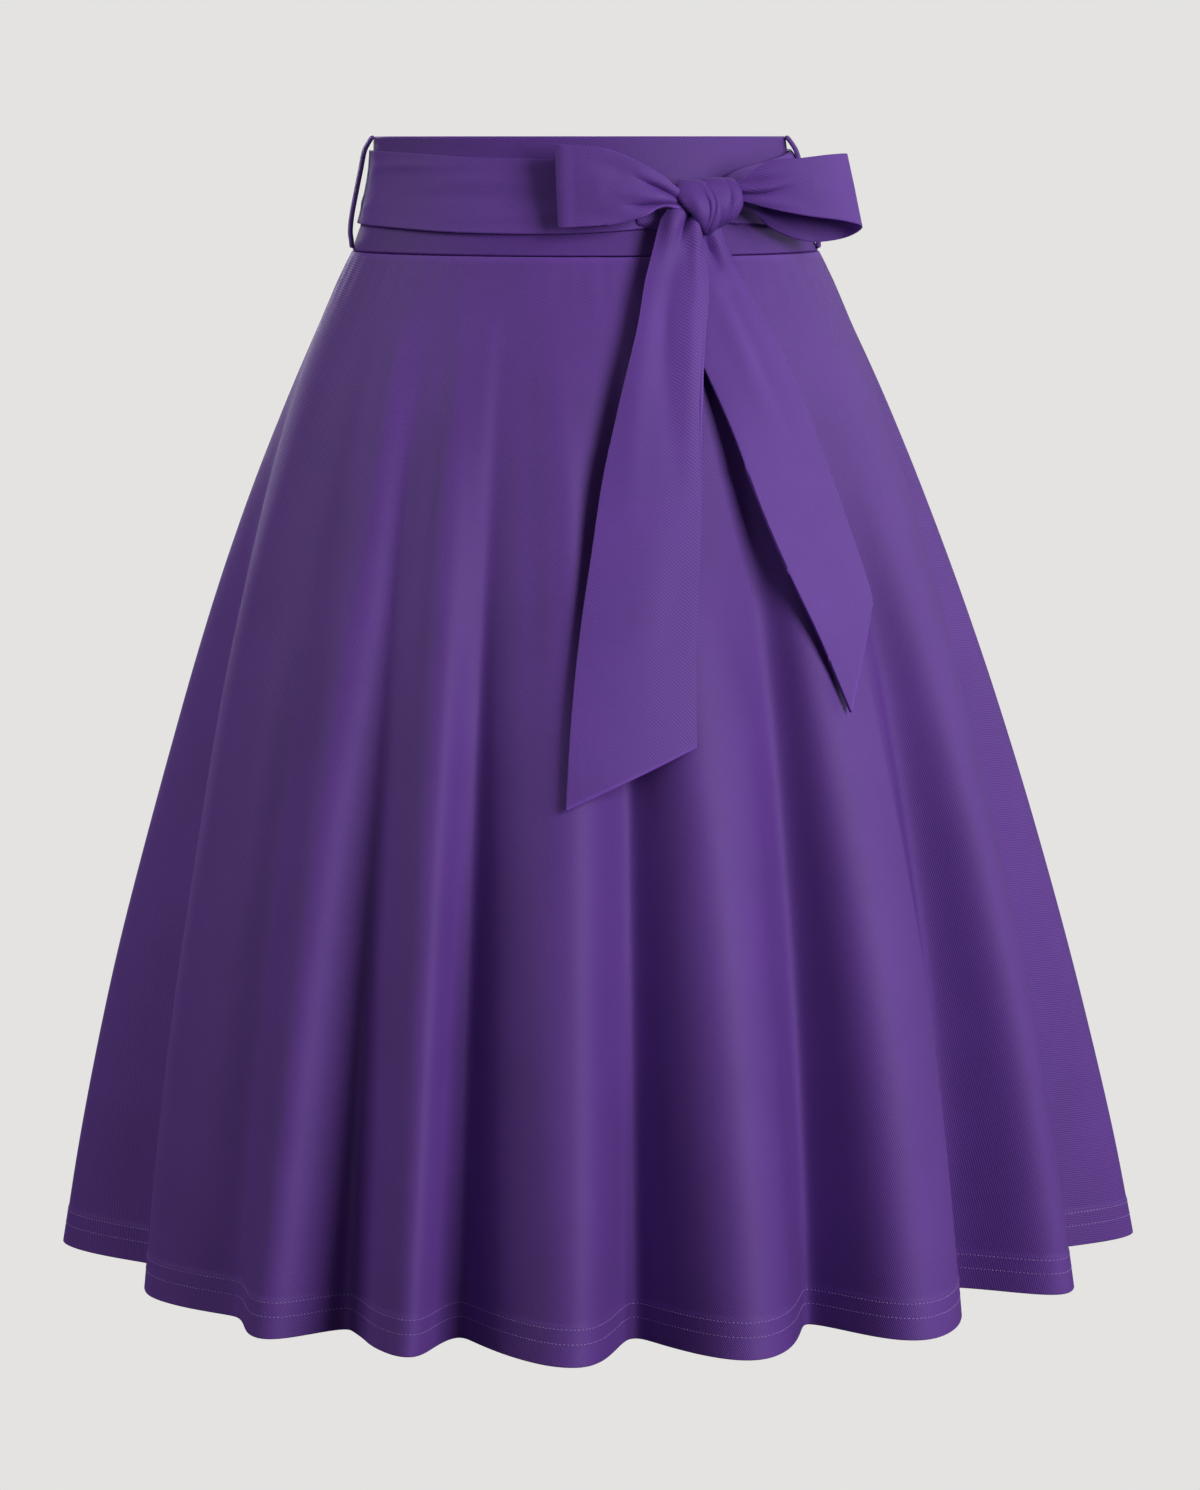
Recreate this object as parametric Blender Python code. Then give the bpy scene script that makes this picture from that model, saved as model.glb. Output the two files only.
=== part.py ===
"""High-waisted flared skirt: two fluted panels, a wide waistband, two belt loops and a tied sash.

Metres, +Z up. The front faces -Y. Left and right are as seen from the front, so left is -X.
The origin is the middle of the waist's top edge. Angles run round the waist in degrees:
0 is the middle of the front, 90 the right side, 180 the middle of the back, -90 the left side.
"""

from collections import namedtuple

import bpy
import numpy as np

# ---- driving dimensions -------------------------------------------------------------------

SEAM_DROP = 0.0658  # from the top edge to the waist seam, at the sides
SEAM_DIP = 0.0028  # how much lower the waist seam is at the middle of the front
HEM_DROP = 0.672  # from the top edge to the hem
SEAM_HALF_WIDTH = 0.1377
SEAM_HALF_DEPTH = 0.1045
HEM_HALF_DEPTH = 0.250
FOLD_GROWTH = 1.05  # power of the growth of a flute down the skirt
FOLD_DRIFT = 2.5  # power of the sideways drift of a flute down the skirt

GAP = 0.0003  # between pieces that are sewn or lie on each other
SKIRT_WALL = 0.0014
BAND_WALL = 0.0022
SASH_WALL = 0.0020
LOOP_WALL = 0.0020

SKIRT_SHARES = (0.0, 0.03, 0.08, 0.15, 0.23, 0.32, 0.42, 0.52, 0.62, 0.72, 0.82, 0.91, 1.0)
CREST_ROUNDNESS = 0.45  # share of a broad round crest with a narrow valley in a flute's section
STEPS_PER_TURN = 5  # columns of a panel from a crest to the next valley
BAND_STEP = 5  # degrees between columns of the waistband and the sash

# The waistband's sections: how far below the top edge, half width, half depth, sideways shift.
BandSection = namedtuple("BandSection", "drop half_width half_depth shift")
BAND_SECTIONS = (
    BandSection(0.0000, 0.1205, 0.0900, -0.0035),
    BandSection(0.0200, 0.1222, 0.0922, -0.0025),
    BandSection(0.0450, 0.1288, 0.0975, -0.0010),
    BandSection(0.0686, SEAM_HALF_WIDTH, SEAM_HALF_DEPTH, 0.0),
)

# The skirt's mean sections: share of the way down from seam to hem, and half width.
SkirtSection = namedtuple("SkirtSection", "share half_width")
SKIRT_SECTIONS = (
    SkirtSection(0.0, SEAM_HALF_WIDTH),
    SkirtSection(0.1, 0.1662),
    SkirtSection(0.2, 0.1892),
    SkirtSection(0.3, 0.2087),
    SkirtSection(0.4, 0.2256),
    SkirtSection(0.5, 0.2404),
    SkirtSection(0.6, 0.2539),
    SkirtSection(0.7, 0.2662),
    SkirtSection(0.8, 0.2767),
    SkirtSection(0.9, 0.2858),
    SkirtSection(1.0, 0.2930),
)

# The flutes, in order round the skirt. Each has a crest and, on its right, a valley: their
# angles at the seam and at the hem, and how far they stand out from the mean section at the
# hem, in millimetres. Start is the share of the way down at which the flute begins.
Fold = namedtuple(
    "Fold", "name crest_top crest_hem crest_out valley_top valley_hem valley_out start"
)
FOLDS = (
    Fold("side_left", -104, -97, 30, -90, -79, -36, 0.03),
    Fold("front_left_outer", -68.5, -59.5, -3.0, -55.0, -44.7, -10.5, 0.04),
    Fold("front_left_inner", -42.5, -35.4, 23.3, -35.0, -29.1, -21.6, 0.04),
    Fold("front_left_centre", -27.2, -18.1, 30.7, -17.4, -14.8, -24.6, 0.03),
    Fold("front_centre", -5.9, -1.1, 42.0, 6.5, 5.9, -29.0, 0.08),
    Fold("front_right_centre", 9.7, 16.9, 36.5, 27.7, 28.7, -38.0, 0.10),
    Fold("front_right_inner", 32.1, 37.3, 32.0, 42.0, 59.4, -58.0, 0.06),
    Fold("front_right_outer", 59.5, 66.0, 18.0, 90, 88, -31, 0.03),
    Fold("side_right", 104, 101, 51, 116, 117, -12, 0.03),
    Fold("back_right_outer", 126, 128, 20, 135, 137, -26, 0.05),
    Fold("back_right_inner", 144, 146, 28, 153, 156, -20, 0.06),
    Fold("back_right_centre", 163, 165, 30, 172, 174, -26, 0.04),
    Fold("back_centre", 182, 183, 32, 192, 193, -22, 0.07),
    Fold("back_left_centre", 202, 203, 26, 211, 212, -28, 0.05),
    Fold("back_left_inner", 221, 222, 24, 230, 231, -22, 0.04),
    Fold("back_left_outer", 240, 242, 27, 249, 251, -26, 0.05),
)
FRONT_FROM = 1  # turns are counted crest, valley, crest, and so on: the front's two sides
FRONT_TO = 15

# The sash round the waist: angle, and how far its two edges are below the top edge.
SashSection = namedtuple("SashSection", "angle top low")
SASH_SECTIONS = (
    SashSection(-90, 0.0075, 0.0515),
    SashSection(-60, 0.0085, 0.0535),
    SashSection(-30, 0.0115, 0.0562),
    SashSection(0, 0.0140, 0.0560),
    SashSection(20, 0.0245, 0.0520),
    SashSection(33, 0.0280, 0.0500),
    SashSection(45, 0.0200, 0.0510),
    SashSection(60, 0.0140, 0.0535),
    SashSection(90, 0.0075, 0.0520),
    SashSection(135, 0.0090, 0.0530),
    SashSection(180, 0.0105, 0.0545),
    SashSection(225, 0.0090, 0.0530),
    SashSection(270, 0.0075, 0.0515),
)
LOOP_ANGLE = 82  # of both belt loops; the sash's stretches meet under them
KNOT_ANGLE = 33  # where the sash's two front stretches meet, behind the knot

# A belt loop from top to bottom: how far below the top edge, and how far from the band's middle.
LoopSection = namedtuple("LoopSection", "drop clear")
LOOP_SECTIONS = (
    LoopSection(0.0008, 0.0026),
    LoopSection(0.0045, 0.0050),
    LoopSection(0.0093, 0.0072),
    LoopSection(0.0180, 0.0086),
    LoopSection(0.0300, 0.0093),
    LoopSection(0.0450, 0.0087),
    LoopSection(0.0550, 0.0067),
    LoopSection(0.0610, 0.0041),
    LoopSection(0.0645, 0.0026),
)
LOOP_WIDTH = 0.009

KNOT_MIDDLE = (0.0712, -0.0990, -0.0402)
KNOT_HALF_SIZE = (0.0187, 0.0105, 0.0160)
KNOT_TURN = 20  # degrees about Z, along the waist
# The knot's girth along its length, as shares of its half length and of its half height.
KNOT_PROFILE = ((-1.0, 0.5), (-0.8, 0.76), (-0.4, 0.95), (0.0, 1.0), (0.4, 0.96), (0.8, 0.78), (1.0, 0.52))

# The bow's loops, from the knot along the front layer, round the end and back to the knot:
# place of the strip's top edge, how far its edges are below the waist's top edge, how far its
# low edge is to the right of its top edge, and the height of its pleats.
BowSection = namedtuple("BowSection", "x y top low slant pleat")
BOW_LEFT = (
    BowSection(0.0530, -0.1080, 0.0305, 0.0412, 0.0, 0.0010),
    BowSection(0.0440, -0.1120, 0.0222, 0.0384, 0.0, 0.0014),
    BowSection(0.0336, -0.1150, 0.0138, 0.0448, 0.0, 0.0010),
    BowSection(0.0120, -0.1168, 0.0064, 0.0508, 0.0004, 0.0003),
    BowSection(-0.0105, -0.1160, 0.0042, 0.0522, 0.0012, 0.0),
    BowSection(-0.0158, -0.1128, 0.0040, 0.0524, 0.0017, 0.0),
    BowSection(-0.0105, -0.1090, 0.0048, 0.0520, 0.0012, 0.0),
    BowSection(0.0120, -0.1078, 0.0075, 0.0505, 0.0004, 0.0003),
    BowSection(0.0336, -0.1062, 0.0150, 0.0440, 0.0, 0.0008),
    BowSection(0.0440, -0.1050, 0.0235, 0.0380, 0.0, 0.0010),
    BowSection(0.0512, -0.1030, 0.0310, 0.0408, 0.0, 0.0008),
)
BOW_RIGHT = (
    BowSection(0.0918, -0.0965, 0.0262, 0.0372, 0.0, 0.0010),
    BowSection(0.1041, -0.0985, 0.0146, 0.0405, 0.0010, 0.0014),
    BowSection(0.1243, -0.0965, 0.0120, 0.0458, 0.0030, 0.0008),
    BowSection(0.1420, -0.0880, 0.0100, 0.0490, 0.0070, 0.0002),
    BowSection(0.1502, -0.0740, 0.0102, 0.0530, 0.0092, 0.0),
    BowSection(0.1430, -0.0620, 0.0150, 0.0592, 0.0070, 0.0),
    BowSection(0.1310, -0.0625, 0.0190, 0.0615, 0.0030, 0.0004),
    BowSection(0.1100, -0.0740, 0.0240, 0.0545, 0.0, 0.0008),
    BowSection(0.0900, -0.0880, 0.0290, 0.0400, 0.0, 0.0008),
)

# The sash's hanging ends, from the knot down: the places of the left and the right edge, as
# sideways place and drop, and how far each edge stands in front of the skirt's mean section.
TailSection = namedtuple("TailSection", "left_x left_drop right_x right_drop left_lift right_lift")
TAIL_LEFT = (
    TailSection(0.0411, 0.0572, 0.0676, 0.0572, 0.0085, 0.0085),
    TailSection(0.0390, 0.0630, 0.0688, 0.0625, 0.0100, 0.0095),
    TailSection(0.0337, 0.0832, 0.0709, 0.0902, 0.0110, 0.0105),
    TailSection(0.0302, 0.1044, 0.0685, 0.1125, 0.0115, 0.0110),
    TailSection(0.0185, 0.1526, 0.0664, 0.1531, 0.0125, 0.0120),
    TailSection(0.0097, 0.1912, 0.0662, 0.1918, 0.0140, 0.0135),
    TailSection(0.0035, 0.2312, 0.0655, 0.2287, 0.0160, 0.0150),
    TailSection(-0.0040, 0.2826, 0.0632, 0.2762, 0.0185, 0.0165),
    TailSection(-0.0087, 0.3316, 0.0631, 0.3160, 0.0215, 0.0180),
    TailSection(-0.0111, 0.3728, 0.0631, 0.3389, 0.0232, 0.0190),
)
TAIL_RIGHT = (
    TailSection(0.0567, 0.0625, 0.0786, 0.0572, 0.0030, 0.0030),
    TailSection(0.0474, 0.0951, 0.0890, 0.0787, 0.0040, 0.0040),
    TailSection(0.0666, 0.1294, 0.1085, 0.1135, 0.0055, 0.0050),
    TailSection(0.0830, 0.1659, 0.1252, 0.1505, 0.0120, 0.0060),
    TailSection(0.0994, 0.2096, 0.1418, 0.1949, 0.0170, 0.0075),
    TailSection(0.1152, 0.2545, 0.1579, 0.2417, 0.0200, 0.0090),
    TailSection(0.1324, 0.2808, 0.1625, 0.2559, 0.0190, 0.0095),
    TailSection(0.1507, 0.3252, 0.1647, 0.2667, 0.0170, 0.0100),
)
TAIL_ARCH = 0.0015  # how far a tail's middle stands in front of its edges

PURPLE = (0.100, 0.052, 0.222)
PURPLE_BAND = (0.094, 0.048, 0.210)
PURPLE_SASH = (0.106, 0.056, 0.232)
PURPLE_LOOP = (0.084, 0.044, 0.190)
CLOTH_ROUGHNESS = 0.75


# ---- curves -------------------------------------------------------------------------------


def smooth(knots, values, at):
    """Values at the places asked for, on a smooth curve through rows given at rising knots."""
    knots = np.asarray(knots, float)
    values = np.asarray(values, float)
    at = np.clip(at, knots[0], knots[-1])
    slopes = np.gradient(values, knots, axis=0)
    row = np.clip(np.searchsorted(knots, at, side="right") - 1, 0, len(knots) - 2)
    width = knots[row + 1] - knots[row]
    t = (at - knots[row]) / width
    if values.ndim > 1:
        t = t[..., None]
        width = width[..., None]
    return (
        (2 * t**3 - 3 * t**2 + 1) * values[row]
        + (t**3 - 2 * t**2 + t) * width * slopes[row]
        + (3 * t**2 - 2 * t**3) * values[row + 1]
        + (t**3 - t**2) * width * slopes[row + 1]
    )


def column(table, name):
    """One named column of a table."""
    return [getattr(row, name) for row in table]


def ease(t):
    """From 0 to 1 with level ends."""
    return t * t * (3 - 2 * t)


# ---- the skirt's form ---------------------------------------------------------------------


def seam_drop(angle):
    """How far the waist seam is below the top edge."""
    return SEAM_DROP + SEAM_DIP * np.cos(np.radians(angle) / 2) ** 2


def skirt_half_sizes(share):
    """Half width and half depth of the skirt's mean section."""
    width = smooth(column(SKIRT_SECTIONS, "share"), column(SKIRT_SECTIONS, "half_width"), share)
    spread = (width - SEAM_HALF_WIDTH) / (SKIRT_SECTIONS[-1].half_width - SEAM_HALF_WIDTH)
    return width, SEAM_HALF_DEPTH + spread * (HEM_HALF_DEPTH - SEAM_HALF_DEPTH)


def fold_turns(share):
    """Angle and outward reach of each crest and valley in turn, at this share of the way down."""
    drift = (1 - share) ** FOLD_DRIFT
    angles = []
    reaches = []
    for fold in FOLDS:
        grown = max(0.0, (share - fold.start) / (1 - fold.start)) ** FOLD_GROWTH
        angles.append(fold.crest_hem + (fold.crest_top - fold.crest_hem) * drift)
        angles.append(fold.valley_hem + (fold.valley_top - fold.valley_hem) * drift)
        reaches.append(fold.crest_out * grown / 1000)
        reaches.append(fold.valley_out * grown / 1000)
    return np.array(angles), np.array(reaches)


def fluted_ring(share, turns):
    """Points of the skirt's section at places counted in turns of the flutes."""
    angles, reaches = fold_turns(share)
    count = len(angles)
    whole = np.floor(turns).astype(int)
    t = turns - whole

    def angle_of(turn):
        return angles[turn % count] + 360.0 * (turn // count)

    before = angle_of(whole - 1)
    here = angle_of(whole)
    after = angle_of(whole + 1)
    beyond = angle_of(whole + 2)
    angle = (
        (2 * t**3 - 3 * t**2 + 1) * here
        + (t**3 - 2 * t**2 + t) * (after - before) / 2
        + (3 * t**2 - 2 * t**3) * after
        + (t**3 - t**2) * (beyond - here) / 2
    )
    # Cloth that hangs in flutes is broad and round on its crests and narrow in its valleys.
    to_valley = whole % 2 == 0
    crest = np.where(to_valley, reaches[whole % count], reaches[(whole + 1) % count])
    valley = np.where(to_valley, reaches[(whole + 1) % count], reaches[whole % count])
    inward = np.where(to_valley, t, 1 - t)
    sunk = CREST_ROUNDNESS * (1 - np.cos(np.pi * inward / 2)) + (1 - CREST_ROUNDNESS) * ease(inward)
    reach = crest + (valley - crest) * sunk
    half_width, half_depth = skirt_half_sizes(np.array(share))
    around = np.radians(angle)
    out = np.stack([np.sin(around) / half_width, -np.cos(around) / half_depth], axis=-1)
    out /= np.linalg.norm(out, axis=-1, keepdims=True)
    x = half_width * np.sin(around) + reach * out[..., 0]
    y = -half_depth * np.cos(around) + reach * out[..., 1]
    top = seam_drop(angle) + GAP / 2
    z = -(top + share * (HEM_DROP - top))
    return np.stack([x, y, z], axis=-1)


def front_of_skirt(x, drop):
    """How far the skirt's mean section is in front of its middle, at a place seen from the front."""
    share = np.clip((drop - SEAM_DROP) / (HEM_DROP - SEAM_DROP), 0, 1)
    half_width, half_depth = skirt_half_sizes(share)
    return half_depth * np.sqrt(1 - (x / half_width) ** 2)


# ---- the waistband's form -----------------------------------------------------------------


def band_point(angle, drop, clear):
    """A point outside the waistband's middle surface by a clear distance."""
    drops = column(BAND_SECTIONS, "drop")
    half_width = smooth(drops, column(BAND_SECTIONS, "half_width"), drop)
    half_depth = smooth(drops, column(BAND_SECTIONS, "half_depth"), drop)
    shift = smooth(drops, column(BAND_SECTIONS, "shift"), drop)
    around = np.radians(angle)
    out = np.stack([np.sin(around) / half_width, -np.cos(around) / half_depth], axis=-1)
    out /= np.linalg.norm(out, axis=-1, keepdims=True)
    x = shift + half_width * np.sin(around) + clear * out[..., 0]
    y = -half_depth * np.cos(around) + clear * out[..., 1]
    return np.stack([x, y, -drop], axis=-1)


# ---- walls and meshes ---------------------------------------------------------------------


def surface_normals(grid, round_ring=False):
    """Outward normals of a grid of points whose columns run to the right and rows run down."""
    if round_ring:
        wide = np.concatenate([grid[:, -1:], grid, grid[:, :1]], axis=1)
        along = (wide[:, 2:] - wide[:, :-2]) / 2
    else:
        along = np.gradient(grid, axis=1)
    down = np.gradient(grid, axis=0)
    normals = np.cross(down, along)
    return normals / np.linalg.norm(normals, axis=-1, keepdims=True)


def level(normals):
    """The same normals turned level, for an edge that meets a neighbour."""
    flat = normals * np.array([1.0, 1.0, 0.0])
    return flat / np.linalg.norm(flat, axis=-1, keepdims=True)


def trim_ends(grid, first, last):
    """Move the first and the last column inwards, each by its own distance."""
    grid = grid.copy()
    for end, inner, distance in ((0, 1, first), (-1, -2, last)):
        way = grid[:, inner] - grid[:, end]
        grid[:, end] += way * distance / np.linalg.norm(way, axis=-1, keepdims=True)
    return grid


def cloth_material(name, colour):
    """A matt woven cloth of one colour."""
    material = bpy.data.materials.new(name)
    material.use_nodes = True
    shader = material.node_tree.nodes["Principled BSDF"]
    shader.inputs["Base Color"].default_value = (*colour, 1.0)
    shader.inputs["Roughness"].default_value = CLOTH_ROUGHNESS
    shader.inputs["Metallic"].default_value = 0.0
    material.diffuse_color = (*colour, 1.0)
    return material


def add_object(name, points, faces, material):
    """A smooth-shaded object from points and faces."""
    mesh = bpy.data.meshes.new(name)
    mesh.from_pydata([tuple(point) for point in points], [], faces)
    mesh.materials.append(material)
    mesh.shade_smooth()
    mesh.set_sharp_from_angle(angle=np.radians(50))
    piece = bpy.data.objects.new(name, mesh)
    bpy.context.scene.collection.objects.link(piece)
    return piece


def add_wall(name, grid, normals, wall, material):
    """A closed wall of cloth on both sides of a grid of points."""
    rows, columns = grid.shape[:2]
    outer = (grid + normals * wall / 2).reshape(-1, 3)
    inner = (grid - normals * wall / 2).reshape(-1, 3)
    inside = rows * columns
    faces = []
    for row in range(rows - 1):
        for place in range(columns - 1):
            a = row * columns + place
            b = a + columns
            faces.append((a, b, b + 1, a + 1))
            faces.append((inside + a, inside + a + 1, inside + b + 1, inside + b))
    for place in range(columns - 1):
        a = place
        b = (rows - 1) * columns + place
        faces.append((a, a + 1, inside + a + 1, inside + a))
        faces.append((b + 1, b, inside + b, inside + b + 1))
    for row in range(rows - 1):
        a = row * columns
        b = a + columns - 1
        faces.append((a + columns, a, inside + a, inside + a + columns))
        faces.append((b, b + columns, inside + b + columns, inside + b))
    return add_object(name, np.concatenate([outer, inner]), faces, material)


# ---- the pieces ---------------------------------------------------------------------------


def add_skirt_panels(material):
    """The front and the back panel, cut from one fluted form along the side seams."""
    turns_round = 2 * len(FOLDS)
    turns = np.arange(FRONT_FROM, FRONT_FROM + turns_round, 1 / STEPS_PER_TURN)
    ring = np.array([fluted_ring(share, turns) for share in SKIRT_SHARES])
    normals = surface_normals(ring, round_ring=True)
    normals[0] = level(normals[0])
    ring = np.concatenate([ring, ring[:, :1]], axis=1)
    normals = np.concatenate([normals, normals[:, :1]], axis=1)
    side = (FRONT_TO - FRONT_FROM) * STEPS_PER_TURN
    for name, cut in (("skirt_front", slice(0, side + 1)), ("skirt_back", slice(side, None))):
        panel = trim_ends(ring[:, cut], GAP / 2, GAP / 2)
        add_wall(name, panel, normals[:, cut], SKIRT_WALL, material)


def add_waistband(material):
    """The front and the back half of the waistband, between the top edge and the waist seam."""
    shares = np.linspace(0, 1, 5)[:, None]
    for name, start in (("waistband_front", -90), ("waistband_back", 90)):
        angles = np.arange(start, start + 180 + BAND_STEP, BAND_STEP)[None, :]
        drops = shares * (seam_drop(angles) - GAP / 2)
        angles = np.broadcast_to(angles, drops.shape)
        grid = band_point(angles, drops, 0.0)
        normals = level(surface_normals(grid))
        grid = trim_ends(grid, GAP / 2, GAP / 2)
        add_wall(name, grid, normals, BAND_WALL, material)


def add_sash_stretch(name, start, end, material):
    """A stretch of the sash that lies on the waistband between two angles."""
    count = int(round((end - start) / BAND_STEP)) + 1
    angles = np.linspace(start, end, count)
    known = column(SASH_SECTIONS, "angle")
    lookup = np.where(angles > 270, angles - 360, angles)
    top = smooth(known, column(SASH_SECTIONS, "top"), lookup)
    low = smooth(known, column(SASH_SECTIONS, "low"), lookup)
    shares = np.linspace(0, 1, 4)[:, None]
    drops = top + (low - top) * shares
    angles = np.broadcast_to(angles, drops.shape)
    lie = BAND_WALL / 2 + 2 * GAP + SASH_WALL / 2
    grid = band_point(angles, drops, lie)
    normals = level(surface_normals(grid))
    grid = trim_ends(grid, GAP / 2, GAP / 2)
    add_wall(name, grid, normals, SASH_WALL, material)


def add_belt_loop(name, angle, material):
    """A narrow strip that stands off the waistband, sewn in at the top edge and at the seam."""
    knots = np.arange(len(LOOP_SECTIONS))
    places = np.linspace(0, knots[-1], 25)
    drops = smooth(knots, column(LOOP_SECTIONS, "drop"), places)
    clears = smooth(knots, column(LOOP_SECTIONS, "clear"), places)
    angles = np.full_like(drops, angle)
    middle = band_point(angles, drops, clears)
    ahead = band_point(angles + 1, drops, clears) - middle
    ahead /= np.linalg.norm(ahead, axis=-1, keepdims=True)
    across = np.linspace(-LOOP_WIDTH / 2, LOOP_WIDTH / 2, 4)
    grid = middle[:, None] + ahead[:, None] * across[None, :, None]
    add_wall(name, grid, surface_normals(grid), LOOP_WALL, material)


def add_bow_loop(name, sections, stations, material):
    """A loop of the bow: a strip that leaves the knot, turns round and comes back to it."""
    points = np.array([(s.x, s.y, -(s.top + s.low) / 2) for s in sections])
    steps = np.linalg.norm(np.diff(points, axis=0), axis=1)
    knots = np.concatenate([[0], np.cumsum(steps)])
    places = np.linspace(0, knots[-1], stations)
    x = smooth(knots, points[:, 0], places)
    y = smooth(knots, points[:, 1], places)
    top = smooth(knots, column(sections, "top"), places)
    low = smooth(knots, column(sections, "low"), places)
    slant = smooth(knots, column(sections, "slant"), places)
    pleat = smooth(knots, column(sections, "pleat"), places)
    shares = np.linspace(0, 1, 7)[:, None]
    z = -(top + (low - top) * shares)
    grid = np.stack([x + slant * shares, np.broadcast_to(y, z.shape), z], axis=-1)
    if sections[1].x < sections[0].x:
        grid = grid[:, ::-1]
        pleat = pleat[::-1]
    normals = surface_normals(grid)
    wave = np.cos(shares * 4 * np.pi) * pleat
    grid = grid + normals * wave[..., None]
    add_wall(name, grid, surface_normals(grid), SASH_WALL, material)


def add_tail(name, sections, stations, material):
    """A hanging end of the sash, which lies in front of the skirt and ends in a slanted cut."""
    rows = np.array(sections)
    middles = np.stack([(rows[:, 0] + rows[:, 2]) / 2, (rows[:, 1] + rows[:, 3]) / 2], axis=-1)
    knots = np.concatenate([[0], np.cumsum(np.linalg.norm(np.diff(middles, axis=0), axis=1))])
    edges = smooth(knots, rows, np.linspace(0, knots[-1], stations))
    shares = np.linspace(0, 1, 7)[None, :]

    def between(left, right):
        return edges[:, left, None] * (1 - shares) + edges[:, right, None] * shares

    x = between(0, 2)
    drop = between(1, 3)
    lift = between(4, 5) + TAIL_ARCH * (1 - (2 * shares - 1) ** 2)
    y = -(front_of_skirt(x, drop) + lift)
    grid = np.stack([x, y, -drop], axis=-1)
    add_wall(name, grid, surface_normals(grid), SASH_WALL, material)


def add_knot(material):
    """The knot: tightly wound cloth in the form of a short soft barrel."""
    around = np.linspace(0, 2 * np.pi, 20, endpoint=False)
    knots = [row[0] for row in KNOT_PROFILE]
    along = np.linspace(-1, 1, 9)
    girth = smooth(knots, [row[1] for row in KNOT_PROFILE], along)
    turn = np.radians(KNOT_TURN)
    points = []
    for place, size in zip(along, girth):
        for angle in around:
            local_x = place * KNOT_HALF_SIZE[0]
            local_y = size * KNOT_HALF_SIZE[1] * np.sin(angle)
            x = KNOT_MIDDLE[0] + local_x * np.cos(turn) - local_y * np.sin(turn)
            y = KNOT_MIDDLE[1] + local_x * np.sin(turn) + local_y * np.cos(turn)
            z = KNOT_MIDDLE[2] + size * KNOT_HALF_SIZE[2] * np.cos(angle)
            points.append((x, y, z))
    count = len(around)
    faces = []
    for ring in range(len(along) - 1):
        for step in range(count):
            a = ring * count + step
            b = ring * count + (step + 1) % count
            faces.append((a, a + count, b + count, b))
    faces.append(tuple(range(count)))
    faces.append(tuple(reversed(range(len(points) - count, len(points)))))
    add_object("bow_knot", points, faces, material)


def main():
    for piece in list(bpy.data.objects):
        bpy.data.objects.remove(piece, do_unlink=True)
    skirt_cloth = cloth_material("skirt_cloth", PURPLE)
    band_cloth = cloth_material("waistband_cloth", PURPLE_BAND)
    sash_cloth = cloth_material("sash_cloth", PURPLE_SASH)
    loop_cloth = cloth_material("belt_loop_cloth", PURPLE_LOOP)
    add_skirt_panels(skirt_cloth)
    add_waistband(band_cloth)
    add_belt_loop("belt_loop_left", -LOOP_ANGLE, loop_cloth)
    add_belt_loop("belt_loop_right", LOOP_ANGLE, loop_cloth)
    add_sash_stretch("sash_front_left", -LOOP_ANGLE, KNOT_ANGLE, sash_cloth)
    add_sash_stretch("sash_front_right", KNOT_ANGLE, LOOP_ANGLE, sash_cloth)
    add_sash_stretch("sash_back", LOOP_ANGLE, 360 - LOOP_ANGLE, sash_cloth)
    add_knot(sash_cloth)
    add_bow_loop("bow_loop_left", BOW_LEFT, 29, sash_cloth)
    add_bow_loop("bow_loop_right", BOW_RIGHT, 29, sash_cloth)
    add_tail("sash_tail_left", TAIL_LEFT, 22, sash_cloth)
    add_tail("sash_tail_right", TAIL_RIGHT, 20, sash_cloth)


main()
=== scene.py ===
"""Cloth, sewing and studio for a fluted skirt with a wide waistband and a tied sash.

Metres, +Z up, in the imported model's frame. The front faces -Y. Left and right are as seen from
the front, so left is -X. Angles run round the waist in degrees: 0 is the middle of the front,
90 the right side, 180 the middle of the back. Drop is the distance below the waist's top edge.
"""

from collections import namedtuple

import bpy
import numpy as np
from bpy.props import FloatProperty, FloatVectorProperty, PointerProperty
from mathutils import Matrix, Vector


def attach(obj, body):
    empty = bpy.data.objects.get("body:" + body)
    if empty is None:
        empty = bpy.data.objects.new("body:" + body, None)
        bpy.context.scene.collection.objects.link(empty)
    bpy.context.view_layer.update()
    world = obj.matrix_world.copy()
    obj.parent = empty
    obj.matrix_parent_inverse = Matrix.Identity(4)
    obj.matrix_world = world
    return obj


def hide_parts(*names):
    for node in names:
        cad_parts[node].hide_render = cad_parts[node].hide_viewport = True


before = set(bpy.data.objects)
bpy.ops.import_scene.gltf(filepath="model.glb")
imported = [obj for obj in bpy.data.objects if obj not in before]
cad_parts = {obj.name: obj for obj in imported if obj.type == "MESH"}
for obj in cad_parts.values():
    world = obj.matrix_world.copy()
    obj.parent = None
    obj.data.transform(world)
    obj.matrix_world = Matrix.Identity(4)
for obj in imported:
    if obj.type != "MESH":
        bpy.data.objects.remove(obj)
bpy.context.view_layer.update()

bl_info = {
    "name": "Fluted skirt with a tied sash",
    "version": (1, 0, 0),
    "blender": (4, 5, 0),
    "location": "View3D > Sidebar > Skirt",
    "description": "Builds the skirt's cloth, sewing and studio round the packed model",
    "category": "Add Mesh",
}


def table(kind, *rows):
    """Rows of one kind, each with the kind's named columns."""
    return tuple(kind(*row) for row in rows)


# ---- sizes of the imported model, which the cloth repeats -------------------------------------

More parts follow.
